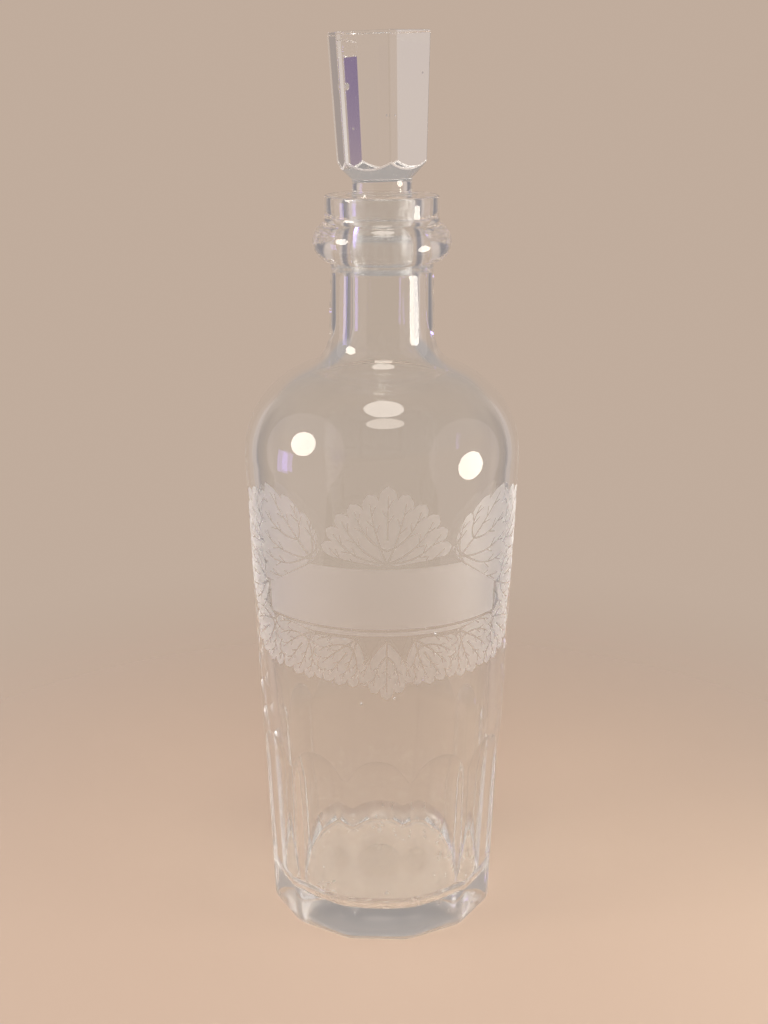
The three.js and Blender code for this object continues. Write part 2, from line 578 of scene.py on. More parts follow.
def blow_seeds(draft: GlassDraft, seeds: Sequence[AirSeed], glass: bpy.types.Material) -> None:
    """Shut air seeds in the glass of a draft.

    Args:
        draft: The draft of the piece.
        seeds: The seeds, each inside the glass.
        glass: The material of the glass round them.
    """
    points = bpy.data.meshes.new("air_seeds")
    points.from_pydata([seed.place for seed in seeds], [], [])
    sizes = [seed.size * MM for seed in seeds]
    points.attributes.new("size", "FLOAT", "POINT").data.foreach_set("value", sizes)
    obj = put_object("air_seeds", points)
    run_nodes(obj, air_seeds_tree(), {"Stretch": SEED_STRETCH, "Glass": glass})
    bubbles = obj.data
    draft.take(bubbles, Surface.POLISHED)
    bpy.data.objects.remove(obj)
    bpy.data.meshes.remove(bubbles)


@dataclass(frozen=True)
class FlatCut:
    """Flats that a wheel grinds round a turned blank, all alike, with rubbed ridges between them."""

    count: int
    turn: float
    foot_apothem: float
    slope: float
    ridge_round: float
    flat_top: float = NO_TOP
    wheel_radius: float = 60.0
    cut_top: float = NO_TOP

    @property
    def half(self) -> float:
        """Half of the angle that one flat takes."""
        return FULL_TURN / 2 / self.count

    @property
    def lean(self) -> float:
        """Angle of the flats from upright, in radians."""
        return math.atan(self.slope)

    @property
    def wheel_centre(self) -> Point2:
        """Radius and height of the wheel's centre where it lifts away."""
        out = self.foot_apothem + self.slope * self.flat_top + self.wheel_radius * math.cos(self.lean)
        return out, self.flat_top - self.wheel_radius * math.sin(self.lean)

    def apothem(self, height: float) -> float:
        """Distance of a flat from the axis at a height.

        Args:
            height: The height.

        Returns:
            The distance.
        """
        if height <= self.flat_top:
            return self.foot_apothem + self.slope * height
        out, level = self.wheel_centre
        return out - math.sqrt(self.wheel_radius ** 2 - (height - level) ** 2)

    def ridge(self, number: int) -> float:
        """Angle of the ridge before a flat."""
        return self.turn + (2 * number - 1) * self.half

    def soft_angle(self, apothem: float | np.ndarray) -> float | np.ndarray:
        """Angle from a ridge to where its round meets the flat.

        Args:
            apothem: The flat's distance from the axis.

        Returns:
            The angle, in degrees.
        """
        half = math.radians(self.half)
        centre = (apothem - self.ridge_round) / math.cos(half)
        out = centre + self.ridge_round * math.cos(half)
        return np.degrees(np.arctan2(self.ridge_round * math.sin(half), out))

    def radius(self, height: float, across: float) -> float:
        """Radius of the ground face.

        Args:
            height: Where it is taken.
            across: The angle from the flat's middle.

        Returns:
            The radius.
        """
        apothem = self.apothem(height)
        from_ridge = self.half - abs(across)
        if from_ridge > self.soft_angle(apothem):
            return apothem / math.cos(math.radians(across))
        centre = (apothem - self.ridge_round) / math.cos(math.radians(self.half))
        side = centre * math.sin(math.radians(from_ridge))
        return centre * math.cos(math.radians(from_ridge)) + math.sqrt(self.ridge_round ** 2 - side ** 2)

    def grind(self, obj: bpy.types.Object, finishes: dict[Surface, bpy.types.Material]) -> None:
        """Cut an object with the flats and give it its finishes.

        Args:
            obj: The blank.
            finishes: The material of each finish.
        """
        values = {
            "Count": self.count,
            "Turn": math.radians(self.turn),
            "Foot Apothem": self.foot_apothem * MM,
            "Slope": self.slope,
            "Ridge Round": self.ridge_round * MM,
            "Flat Top": self.flat_top * MM,
            "Wheel Radius": self.wheel_radius * MM,
            "Cut Top": self.cut_top * MM,
        }
        values.update({surface.name.title(): material for surface, material in finishes.items()})
        run_nodes(obj, flat_cut_tree(), values)

    def normals(self, places: np.ndarray, numbers: np.ndarray) -> np.ndarray:
        """Normals of the ground flats, turning over the round of each ridge.

        Args:
            places: Points on the flats, in millimetres.
            numbers: The flat of each point.

        Returns:
            A normal for each point.
        """
        centre = self.turn + numbers * 2 * self.half
        angle = np.degrees(np.arctan2(places[:, 0], -places[:, 1]))
        across = (angle - centre + FULL_TURN / 2) % FULL_TURN - FULL_TURN / 2
        out = np.array([self.apothem(min(z, self.cut_top)) for z in places[:, 2]])
        soft = self.soft_angle(out)
        share = np.clip((np.abs(across) - self.half + soft) / soft, 0.0, 1.0)
        turn = np.radians(centre + np.sign(across) * self.half * share)
        wheel_out, wheel_level = self.wheel_centre
        flat = places[:, 2] <= self.flat_top
        steep = np.where(flat, -math.sin(self.lean), (wheel_level - places[:, 2]) / self.wheel_radius)
        level = np.where(flat, math.cos(self.lean), (wheel_out - out) / self.wheel_radius)
        return np.stack([level * np.sin(turn), -level * np.cos(turn), steep], axis=1)


def flat_cut_tree() -> bpy.types.NodeTree:
    """Give the Geometry Nodes tree that grinds flats, and build it the first time.

    Returns:
        The tree.
    """
    name = "flat_cut"
    if name in bpy.data.node_groups:
        return bpy.data.node_groups[name]
    sizes = ("Turn", "Foot Apothem", "Slope", "Ridge Round", "Flat Top", "Wheel Radius", "Cut Top")
    inputs = {"Geometry": "NodeSocketGeometry", "Count": "NodeSocketInt"}
    inputs.update({size: "NodeSocketFloat" for size in sizes})
    inputs.update({surface.name.title(): "NodeSocketMaterial" for surface in Surface})
    tree = socketed_tree(name, "GeometryNodeTree", inputs, {"Geometry": "NodeSocketGeometry"})
    sketch = NodeSketch(tree)
    given = sketch.add("NodeGroupInput").outputs

    def choose(test: bpy.types.NodeSocket, no: object, yes: object) -> bpy.types.NodeSocket:
        """Switch between two numbers."""
        inputs = {"Switch": test, "False": no, "True": yes}
        return sketch.add("GeometryNodeSwitch", inputs, input_type="FLOAT").outputs[0]

    place = sketch.add("ShaderNodeSeparateXYZ", {0: sketch.add("GeometryNodeInputPosition").outputs[0]})
    x, y, z = place.outputs
    radius = sketch.math("SQRT", sketch.math("MULTIPLY_ADD", x, x, sketch.math("MULTIPLY", y, y)))
    angle = sketch.math("ARCTAN2", x, sketch.math("MULTIPLY", y, -1.0))
    half = sketch.math("DIVIDE", math.pi, given["Count"])
    turned = sketch.math("SUBTRACT", angle, given["Turn"])
    across = sketch.math("WRAP", turned, half, sketch.math("MULTIPLY", half, -1.0))
    lean = sketch.math("ARCTANGENT", given["Slope"])
    top_apothem = sketch.math("MULTIPLY_ADD", given["Slope"], given["Flat Top"], given["Foot Apothem"])
    wheel_out = sketch.math("MULTIPLY_ADD", given["Wheel Radius"], sketch.math("COSINE", lean), top_apothem)
    wheel_drop = sketch.math("MULTIPLY", given["Wheel Radius"], sketch.math("SINE", lean))
    rise = sketch.math("SUBTRACT", z, sketch.math("SUBTRACT", given["Flat Top"], wheel_drop))
    wheel_square = sketch.math("MULTIPLY", given["Wheel Radius"], given["Wheel Radius"])
    reach = sketch.math("SUBTRACT", wheel_square, sketch.math("MULTIPLY", rise, rise))
    run_out = sketch.math("SUBTRACT", wheel_out, sketch.math("SQRT", sketch.math("MAXIMUM", reach, 0.0)))
    flat = sketch.math("MULTIPLY_ADD", given["Slope"], z, given["Foot Apothem"])
    apothem = choose(sketch.math("GREATER_THAN", z, given["Flat Top"]), flat, run_out)
    from_ridge = sketch.math("SUBTRACT", half, sketch.math("ABSOLUTE", across))
    inside = sketch.math("SUBTRACT", apothem, given["Ridge Round"])
    centre = sketch.math("DIVIDE", inside, sketch.math("COSINE", half))
    reach_out = sketch.math("MULTIPLY_ADD", given["Ridge Round"], sketch.math("COSINE", half), centre)
    reach_side = sketch.math("MULTIPLY", given["Ridge Round"], sketch.math("SINE", half))
    soft = sketch.math("ARCTAN2", reach_side, reach_out)
    side = sketch.math("MULTIPLY", centre, sketch.math("SINE", from_ridge))
    round_square = sketch.math("MULTIPLY", given["Ridge Round"], given["Ridge Round"])
    bulge = sketch.math("SUBTRACT", round_square, sketch.math("MULTIPLY", side, side))
    bulge = sketch.math("SQRT", sketch.math("MAXIMUM", bulge, 0.0))
    ridge = sketch.math("MULTIPLY_ADD", centre, sketch.math("COSINE", from_ridge), bulge)
    level = sketch.math("DIVIDE", apothem, sketch.math("COSINE", across))
    level = choose(sketch.math("LESS_THAN", from_ridge, soft), level, ridge)
    ground = sketch.math("MINIMUM", radius, level)
    kept = choose(sketch.math("GREATER_THAN", z, given["Cut Top"]), ground, radius)
    inset = sketch.math("SUBTRACT", kept, sketch.attribute("inset", "FLOAT"))
    scale = sketch.math("DIVIDE", inset, sketch.math("MAXIMUM", radius, TINY))
    moved = sketch.add("ShaderNodeCombineXYZ", {
        "X": sketch.math("MULTIPLY", x, scale), "Y": sketch.math("MULTIPLY", y, scale), "Z": z,
    })
    shaped = sketch.add("GeometryNodeSetPosition", {
        "Geometry": given["Geometry"], "Position": moved.outputs[0],
    })
    result = sketch.add("GeometryNodeRealizeInstances", {0: shaped.outputs[0]}).outputs[0]
    finish = sketch.attribute("surface", "INT")
    for surface in Surface:
        chosen = sketch.math("COMPARE", finish, float(surface), SAME_SURFACE)
        result = sketch.add("GeometryNodeSetMaterial", {
            "Geometry": result, "Selection": chosen, "Material": given[surface.name.title()],
        }).outputs[0]
    sketch.add("NodeGroupOutput", {0: result})
    return tree


@dataclass(frozen=True)
class EtchedShape:
    """One shape of the garland on the unrolled wall: its frosted core, its clear edge and the lines in it."""

    core: Polygon
    edge: Polygon
    lines: list[Polygon] = field(default_factory=list)


@dataclass(frozen=True)
class VineLeaf:
    """An etched leaf: a fan of rounded lobes, each with a clear curved vein.

    A taper shortens the lobes towards one side: to the right of the leaf's axis, or to the left if it is
    negative. Depths, gains and losses are shares of the reach. Each twig leaves its vein after a number of
    the vein's steps, at an angle to it.
    """

    base: Point2
    bearing: float
    reach: float
    lobes: int = 9
    spread: float = 140.0
    margin: float = 0.5
    taper: float = 0.0
    vein_width: float = 0.7
    vein_tip: float = 0.26
    lobe_depth: float = 0.13
    lobe_bluntness: float = 0.7
    tooth_depth: float = 0.02
    teeth: int = 3
    middle_gain: float = 0.11
    middle_fall: float = 1.2
    side_loss: float = 0.06
    shortest: float = 0.2
    points_per_lobe: int = 10
    vein_share: float = 0.88
    vein_steps: int = 10
    vein_start: float = 0.03
    vein_climb: float = 0.30
    vein_swing: float = 1.45
    vein_bend: float = 0.55
    twigs: tuple[tuple[int, float], ...] = ((5, 34.0), (6, -34.0), (8, 30.0))
    twig_share: float = 0.12
    twig_width: float = 0.6
    twig_steps: int = 3
    climb_power: int = 4

    @property
    def step(self) -> float:
        """Angle from one lobe to the next."""
        return self.spread / (self.lobes - 1)

    def place(self, angle: float, distance: float) -> Point2:
        """Point on the unrolled wall at an angle from the leaf's own axis and a distance from its base."""
        turn = math.radians(self.bearing + angle)
        return self.base[0] + distance * math.sin(turn), self.base[1] + distance * math.cos(turn)

    def extent(self, angle: float) -> float:
        """Distance from the base to the leaf's edge.

        Args:
            angle: The angle from the leaf's own axis.

        Returns:
            The distance.
        """
        phase = math.pi * angle / self.step
        lobe = abs(math.cos(phase)) ** self.lobe_bluntness
        tooth = abs(math.cos(self.teeth * phase))
        middle = math.exp(-self.middle_fall * (angle / self.step) ** 2)
        side = 2 * angle / self.spread
        shorter = max(1.0 - max(self.taper * side, 0.0), self.shortest)
        fan = (1.0 - self.middle_gain + self.middle_gain * middle - self.side_loss * side ** 2) * shorter
        notch = 1.0 - self.lobe_depth - self.tooth_depth
        return self.reach * fan * (notch + self.lobe_depth * lobe + self.tooth_depth * tooth)

    def outline(self, margin: float) -> Polygon:
        """Outline of the leaf.

        Args:
            margin: How far it is grown.

        Returns:
            Its corners.
        """
        last = (self.spread + self.step) / 2
        angles = np.linspace(last, -last, self.points_per_lobe * self.lobes + 1)
        fan = [self.place(angle, self.extent(angle) + margin) for angle in angles]
        return [self.place(0.0, -margin), *fan]

    def veins(self) -> list[Polygon]:
        """Draw the clear veins, one to a lobe, with a few twigs on each.

        Returns:
            Their outlines.
        """
        found = []
        for number in range(self.lobes):
            angle = (number - (self.lobes - 1) / 2) * self.step
            length = self.vein_share * self.extent(angle)
            climb = self.vein_climb * math.cos(math.radians(angle)) ** self.climb_power * (number % 2)
            start = np.array(self.place(0.0, (self.vein_start + climb) * self.reach))
            bend = np.array(self.place(self.vein_swing * angle, self.vein_bend * length))
            end = np.array(self.place(angle, length))
            shares = np.linspace(0.0, 1.0, self.vein_steps + 1)[:, None]
            course = (1 - shares) ** 2 * start + 2 * shares * (1 - shares) * bend + shares ** 2 * end
            found.append(strip([tuple(p) for p in course], self.vein_width, self.vein_tip))
            for step, turn in self.twigs:
                found.append(self.twig(course[step], course[step + 1] - course[step], turn))
        return found

    def twig(self, start: np.ndarray, along: np.ndarray, turn: float) -> Polygon:
        """Draw a short side vein.

        Args:
            start: Where it leaves its vein.
            along: The vein's direction there.
            turn: Its angle from the vein, in degrees.

        Returns:
            Its outline.
        """
        bearing = math.atan2(along[0], along[1]) + math.radians(turn)
        tip = start + self.twig_share * self.reach * np.array([math.sin(bearing), math.cos(bearing)])
        course = line(tuple(start), tuple(tip), self.twig_steps)
        return strip(course, self.twig_width * self.vein_width, self.vein_tip)

    def shape(self) -> EtchedShape:
        """The leaf as an etched shape."""
        return EtchedShape(self.outline(0.0), self.outline(self.margin), self.veins())


@dataclass(frozen=True)
class Ribbon:
    """A frosted band between two levels of the unrolled wall, with a clear edge."""

    left: float
    right: float
    low: float
    high: float
    margin: float = 0.35

    def outline(self, margin: float) -> Polygon:
        """Outline of the band.

        Args:
            margin: How far it is grown.

        Returns:
            Its corners.
        """
        left, right = self.left - margin, self.right + margin
        low, high = self.low - margin, self.high + margin
        return [(left, low), (right, low), (right, high), (left, high)]

    def shape(self) -> EtchedShape:
        """The band as an etched shape."""
        return EtchedShape(self.outline(0.0), self.outline(self.margin))


@dataclass(frozen=True)
class Garland:
    """The etched ornament: a bare ribbon across the front with vine leaves above, below and at its ends."""

    ribbon: Ribbon = Ribbon(-41.0, 41.5, 111.6, 131.1)
    hem: Ribbon = Ribbon(-36.0, 37.0, 109.4, 110.7)
    leaves: tuple[VineLeaf, ...] = (
        VineLeaf((1.5, 132.0), 1.0, 25.3, 11, 150.0),
        VineLeaf((1.5, 108.6), 180.0, 20.5, 5, 60.0),
        VineLeaf((-21.8, 132.2), -42.0, 28.5, 9, 140.0, 0.5, 0.85),
        VineLeaf((24.5, 132.4), 45.0, 28.5, 9, 140.0, 0.5, -0.95),
        VineLeaf((-7.5, 108.4), -143.0, 19.0, 7, 90.0),
        VineLeaf((10.0, 108.4), 145.0, 18.5, 7, 90.0),
        VineLeaf((-23.0, 109.0), -140.0, 19.0, 7, 100.0),
        VineLeaf((25.5, 109.0), 140.0, 19.0, 7, 100.0),
        VineLeaf((-42.0, 132.4), -42.0, 21.0, 7, 120.0),
        VineLeaf((45.0, 132.4), 42.0, 21.0, 7, 120.0),
        VineLeaf((-41.5, 121.0), -90.0, 20.0, 7, 110.0),
        VineLeaf((42.0, 121.0), 90.0, 20.0, 7, 110.0),
        VineLeaf((-38.0, 109.4), -124.0, 19.0, 7, 110.0),
        VineLeaf((39.5, 109.4), 124.0, 19.0, 7, 110.0),
    )

    def shapes(self) -> list[EtchedShape]:
        """All shapes, from the front one to the one behind all others."""
        return [*(leaf.shape() for leaf in self.leaves), self.ribbon.shape(), self.hem.shape()]


@dataclass
class WallPlan:
    """The bottle's outer wall unrolled flat, in arc millimetres from the front and heights, to be cut up."""

    scale: float
    points: list[Point2] = field(default_factory=list)
    faces: list[list[int]] = field(default_factory=list)
    longest_edge: float = 1.8
    touch: float = 1e-5

    def point(self, angle: float, height: float) -> int:
        """Add a point by its angle and height and give its number."""
        self.points.append((self.scale * math.radians(angle), height))
        return len(self.points) - 1

    def area(self, outline: Polygon) -> int:
        """Add a closed outline, with its long sides cut up so that they can follow the round wall.

        Args:
            outline: Its corners.

        Returns:
            The number of the area.
        """
        numbers = []
        for start, end in zip(outline, [*outline[1:], outline[0]]):
            steps = max(1, math.ceil(math.dist(start, end) / self.longest_edge))
            for place in line(start, end, steps)[:-1]:
                numbers.append(len(self.points))
                self.points.append(place)
        self.faces.append(numbers)
        return len(self.faces) - 1

    def triangles(self) -> tuple[list[Point2], list[list[int]], list[set[int]]]:
        """Cut the plan into triangles.

        Returns:
            The points, the triangles counter-clockwise, and the areas that each triangle lies in.
        """
        flat = [Vector(point) for point in self.points]
        cut = delaunay_2d_cdt(flat, [], self.faces, HULL_TRIANGLES, self.touch, True)
        places, _, faces, origins, _, areas = cut
        exact = [self.points[origin[0]] if origin else tuple(place) for place, origin in zip(places, origins)]
        return exact, [list(face) for face in faces], [set(area) for area in areas]


@dataclass(frozen=True)
class GroundSeat:
    """The ground taper in the mouth, which the plug of the stopper fits."""

    bore_radius: float = 9.5
    flare: float = 1.0
    length: float = 24.0
    rim_height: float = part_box("bottle")[1].z / MM

    def radius(self, depth: float) -> float:
        """Radius of the taper at a depth below the rim."""
        return self.bore_radius + self.flare * (1 - depth / self.length)


@dataclass
class Bottle:
    """The bottle: one piece of glass with ground panels, an etched wall and a ground seat in the mouth.

    A ripple of the inside wall is given by its waves round the wall, the height in which it turns by a radian
    and its share. A seed is given by its angle, its height and its own radius. Steps, shares and rows lay out
    the mesh.
    """

    foot_radius: float = 37.9
    shoulder_radius: float = 44.0
    shoulder_height: float = 157.0
    shoulder_round: float = 30.0
    neck_fillet: float = 10.0
    neck_foot_radius: float = 16.7
    neck_top_radius: float = 16.0
    neck_length: float = 22.4
    ring_reach: float = 5.5
    ring_height: float = 12.6
    collar_reach: float = 1.7
    seat: GroundSeat = GroundSeat()
    rim_round: float = 0.8
    foot_round: float = 1.4
    foot_ring: float = 6.0
    punt_radius: float = 17.0
    punt_depth: float = 1.2
    dish_shares: tuple[float, ...] = (0.9, 0.75, 0.6, 0.45, 0.3, 0.15, 0.0)
    panel_count: int = 12
    panel_top: float = 66.7
    panel_turn: float = -2.0
    ridge_sink: float = -0.2
    ridge_round: float = 9.0
    wheel_radius: float = 60.0
    cut_margin: float = 1.0
    body_wall: float = 3.8
    panel_wall: float = 3.9
    base_thickness: float = 8.5
    floor_rise: float = 1.5
    heel_round: float = 7.0
    film_angle: float = 8.0
    film_radius: float = 13.0
    throat_round: float = 17.6
    ripple: float = 0.10
    ripple_waves: tuple[tuple[int, float, float], ...] = ((3, 19.0, 1.0), (5, -11.0, 0.6))
    ripple_fade: Point2 = (12.0, 40.0)
    # The worn strips along the arches are also tinted darker, a painted shade line.
    worn_shade_width: float = 0.5
    worn_shade_end: float = 0.8
    column_step: float = 2.5
    ridge_shares: tuple[float, float, float] = (0.33, 0.67, 1.0)
    arch_steps: int = 24
    first_row: float = 4.0
    second_row: float = 10.0
    ridge_row_step: float = 6.0
    panel_row_step: float = 3.0
    panel_rim_angle: float = 14.0
    arch_gap: float = 0.7
    wall_row_step: float = 4.0
    wall_top: float = 163.0
    row_gap: float = 1.0
    inner_gap: float = 1.0
    foot_steps: int = 6
    shoulder_steps: int = 20
    fillet_steps: int = 14
    neck_steps: int = 6
    ring_steps: int = 26
    collar_steps: int = 4
    rim_steps: int = 5
    seat_steps: int = 6
    bore_steps: int = 3
    dome_steps: int = 22
    inside_steps: int = 24
    heel_steps: int = 10
    floor_steps: int = 8
    garland_radius: float = 43.0
    garland: Garland = Garland()
    seed_depth: float = 2.2
    seeds: tuple[tuple[float, float, float], ...] = (
        (-16.3, 107.4, 0.35), (23.6, 108.5, 0.40), (5.5, 88.0, 0.30), (-9.2, 86.0, 0.35),
        (38.0, 142.0, 0.25), (-48.0, 95.0, 0.30), (75.0, 72.0, 0.35), (110.0, 120.0, 0.30),
        (155.0, 82.0, 0.40), (-120.0, 100.0, 0.35), (-150.0, 75.0, 0.30), (-85.0, 130.0, 0.28),
    )

    @property
    def shoulder_centre(self) -> Point2:
        """Centre of the shoulder's round, in radius and height."""
        return self.shoulder_radius - self.shoulder_round, self.shoulder_height

    @property
    def cone_angle(self) -> float:
        """Lean of the body's wall, in degrees."""
        return math.degrees(math.atan((self.shoulder_radius - self.foot_radius) / self.shoulder_height))

    @property
    def cone_top(self) -> Point2:
        """Where the wall meets the shoulder's round."""
        return arc(self.shoulder_centre, self.shoulder_round, -self.cone_angle, 0.0, 1)[0]

    @property
    def taper(self) -> float:
        """Growth of the wall's radius with height."""
        return (self.cone_top[0] - self.foot_radius) / self.cone_top[1]

    def wall_radius(self, height: float) -> float:
        """Radius of the blank's outer wall, up to the shoulder.

        Args:
            height: Where it is taken.

        Returns:
            The radius.
        """
        if height <= self.cone_top[1]:
            return self.foot_radius + self.taper * height
        middle, level = self.shoulder_centre
        return middle + math.sqrt(self.shoulder_round ** 2 - (height - level) ** 2)

    def panels(self) -> FlatCut:
        """The flats round the lower body.

        Returns:
            The cut.
        """
        half = math.radians(FULL_TURN / 2 / self.panel_count)
        apothem = (self.foot_radius - self.ridge_sink) * math.cos(half)
        slope = self.taper * math.cos(half)
        depth = self.wall_radius(self.panel_top) - apothem - slope * self.panel_top
        run_out = math.sqrt(2 * self.wheel_radius * depth - depth ** 2)
        return FlatCut(
            self.panel_count, self.panel_turn, apothem, slope, self.ridge_round,
            self.panel_top - run_out, self.wheel_radius, self.panel_top + self.cut_margin,
        )

    def arch_height(self, cut: FlatCut, across: float) -> float:
        """Height where a flat runs out of the wall.

        Args:
            cut: The flats.
            across: The angle from the flat's middle.

        Returns:
            The height.
        """
        low, high = cut.flat_top, cut.cut_top
        for _ in range(HALVINGS):
            middle = (low + high) / 2
            inside = cut.radius(middle, across) < self.wall_radius(middle)
            low, high = (middle, high) if inside else (low, middle)
        return low

    def columns(self, fine: bool) -> list[float]:
        """Angles of the mesh's columns from the ridge at the back all round.

        Args:
            fine: Whether close columns follow the round of each ridge.

        Returns:
            The angles, with no column twice.
        """
        cut = self.panels()
        steps = list(np.arange(0.0, 2 * cut.half, self.column_step))
        if fine:
            soft = list(cut.soft_angle(cut.foot_apothem) * np.array(self.ridge_shares))
            steps = [0.0, *soft, *steps[2:-1], *(2 * cut.half - angle for angle in reversed(soft))]
        start = cut.ridge(-self.panel_count // 2 + 1)
        return [start + 2 * cut.half * k + step for k in range(self.panel_count) for step in steps]

    def plan_wall(self) -> tuple[WallPlan, list[int]]:
        """Lay the panels and a regular grid out on the unrolled wall.

        Returns:
            The plan, and the numbers of the areas that are panels.
        """
        cut = self.panels()
        plan = WallPlan(self.garland_radius)
        fine, plain = self.columns(True), self.columns(False)
        start = fine[0]
        fine.append(start + FULL_TURN)
        plain.append(start + FULL_TURN)
        foot = {angle: plan.point(angle, self.foot_round) for angle in fine}
        cusp = self.arch_height(cut, cut.half)
        ridge_rows = [self.first_row, *np.arange(self.second_row, cusp - self.row_gap, self.ridge_row_step)]
        ridges = []
        for k in range(self.panel_count + 1):
            angle = start + 2 * cut.half * k
            rows = [plan.point(angle, height) for height in [*ridge_rows, cusp]]
            ridges.append([foot[angle], *rows])
        panels = []
        for k in range(self.panel_count):
            left = start + 2 * cut.half * k
            shares = np.linspace(2 * cut.half, 0.0, self.arch_steps + 1)[1:-1]
            arch = [plan.point(left + s, self.arch_height(cut, s - cut.half)) for s in shares]
            sill = [foot[angle] for angle in fine if left < angle < left + 2 * cut.half - TINY]
            plan.faces.append([ridges[k][0], *sill, *ridges[k + 1], *arch, *ridges[k][:0:-1]])
            panels.append(len(plan.faces) - 1)
        for angle in fine:
            across = (angle - start) % (2 * cut.half) - cut.half
            if abs(abs(across) - cut.half) < SAME_ANGLE:
                continue
            arch = self.arch_height(cut, across)
            step = self.panel_row_step if abs(across) < self.panel_rim_angle else self.ridge_row_step
            for height in [self.first_row, *np.arange(self.second_row, self.panel_top, step)]:
                if abs(height - arch) > self.arch_gap:
                    plan.point(angle, height)
        first = self.panel_top + self.wall_row_step / 2
        wall_rows = [*np.arange(first, self.wall_top - self.row_gap, self.wall_row_step), self.wall_top]
        for angle in plain:
            for height in wall_rows:
                plan.point(angle, height)
        return plan, panels

    def wear(self, plan: WallPlan) -> set[int]:
        """Lay the worn edges of the arches out on the unrolled wall: strips that are rougher and tinted
        darker, a painted shade line.

        Args:
            plan: The unrolled wall.

        Returns:
            The numbers of the areas that are worn and painted darker as shade.
        """
        cut = self.panels()
        start = self.columns(False)[0]
        reach = cut.half - self.worn_shade_end
        found = set()
        for k in range(self.panel_count):
            middle = start + 2 * cut.half * (k + 0.5)
            course = [
                (plan.scale * math.radians(middle + across), self.arch_height(cut, across))
                for across in np.linspace(-reach, reach, self.arch_steps + 1)
            ]
            found.add(plan.area(strip(course, self.worn_shade_width, self.worn_shade_width)))
        return found

    def etch(self, plan: WallPlan) -> list[ShapeAreas]:
        """Lay the garland out on the unrolled wall.

        Args:
            plan: The unrolled wall.

        Returns:
            The areas of its shapes, front to back.
        """
        return [
            (plan.area(shape.core), plan.area(shape.edge), [plan.area(outline) for outline in shape.lines])
            for shape in self.garland.shapes()
        ]

    def add_wall(self, draft: GlassDraft) -> None:
        """Add the outer wall from the foot's round to the shoulder, cut along the arches and the garland.

        Args:
            draft: Where the faces go.
        """
        plan, panels = self.plan_wall()
        shapes = self.etch(plan)
        worn = self.wear(plan)
        places, triangles, areas = plan.triangles()
        numbers = []
        for along, height in places:
            angle = round(math.degrees(along / plan.scale) % FULL_TURN, ANGLE_DIGITS)
            numbers.append(draft.point(*around(angle, self.wall_radius(height)), height))
        ridge_shift = -self.panel_count // 2 + 1
        for triangle, inside in zip(triangles, areas):
            # Worn arch strips: rougher glass with a darker tint, a painted shade line.
            surface = Surface.WORN if worn & inside else Surface.POLISHED
            if frosted(shapes, inside):
                surface = Surface.ETCHED
            panel = [k for k, area in enumerate(panels) if area in inside]
            facing = (panel[0] + ridge_shift) % self.panel_count if panel else Facing.WALL
            draft.face([numbers[i] for i in triangle], surface, int(facing))

    def add_foot(self, draft: GlassDraft) -> None:
        """Add the round along the foot's edge, the flat ring that it stands on and the shallow dish.

        Args:
            draft: Where the faces go.
        """
        angles = self.columns(True)
        on_wall = [round(angle % FULL_TURN, ANGLE_DIGITS) for angle in angles]
        rows = [draft.ring(on_wall, self.wall_radius(self.foot_round), self.foot_round)]
        for across, down in arc((0.0, 0.0), 1.0, 0.0, 90.0, self.foot_steps)[1:]:
            height = self.foot_round * (1 - down)
            rows.append(draft.ring(angles, self.wall_radius(height), height, self.foot_round * (1 - across)))
        rows.append(draft.ring(angles, self.punt_radius + self.foot_ring, 0.0))
        rows.append(draft.ring(angles, self.punt_radius, 0.0))
        draft.turned(rows[::-1], Surface.POLISHED)
        dish = [rows[-1]]
        size = (self.punt_radius ** 2 + self.punt_depth ** 2) / (2 * self.punt_depth)
        for share in self.dish_shares:
            radius = share * self.punt_radius
            height = self.punt_depth - size + math.sqrt(size ** 2 - radius ** 2)
            dish.append(draft.ring(angles, radius, height))
        draft.turned(dish[::-1], Surface.POLISHED)

    def fillet(self, line_radius: float, size: float, dome: float) -> tuple[Point2, float]:
        """Set a fillet between an upright line and a dome on the shoulder.

        Args:
            line_radius: The line's radius.
            size: The fillet's own radius.
            dome: The dome's own radius.

        Returns:
            The fillet's centre, and the dome's angle where they meet.
        """
        across = line_radius + size - self.shoulder_centre[0]
        up = math.sqrt((dome + size) ** 2 - across ** 2)
        return (line_radius + size, self.shoulder_height + up), math.degrees(math.atan2(up, across))

    def outside(self) -> Polygon:
        """Profile of the outside from the top of the etched wall to the rim.

        Returns:
            Its points, by radius and height.
        """
        centre, dome = self.fillet(self.neck_foot_radius, self.neck_fillet, self.shoulder_round)
        first = math.degrees(math.asin((self.wall_top - self.shoulder_height) / self.shoulder_round))
        neck_foot = (self.neck_foot_radius, centre[1])
        neck_top = centre[1] + self.neck_length
        half = self.ring_height / 2
        top_angle = math.degrees(math.acos(self.collar_reach / self.ring_reach))
        ring = [
            (self.neck_top_radius + self.ring_reach * across, neck_top + half + half * up)
            for across, up in arc((0.0, 0.0), 1.0, -90.0, top_angle, self.ring_steps)
        ]
        collar = self.neck_top_radius + self.collar_reach
        level = self.seat.rim_height - self.rim_round
        return [
            *arc(self.shoulder_centre, self.shoulder_round, first, dome, self.shoulder_steps),
            *arc(centre, self.neck_fillet, dome + 180.0, 180.0, self.fillet_steps)[1:],
            *line(neck_foot, (self.neck_top_radius, neck_top), self.neck_steps)[1:-1],
            *ring,
            *line(ring[-1], (collar, level), self.collar_steps)[1:-1],
            *arc((collar - self.rim_round, level), self.rim_round, 0.0, 90.0, self.rim_steps),
        ]

    @property
    def seat_foot(self) -> Point2:
        """Lower end of the ground taper."""
        return self.seat.bore_radius, self.seat.rim_height - self.seat.length

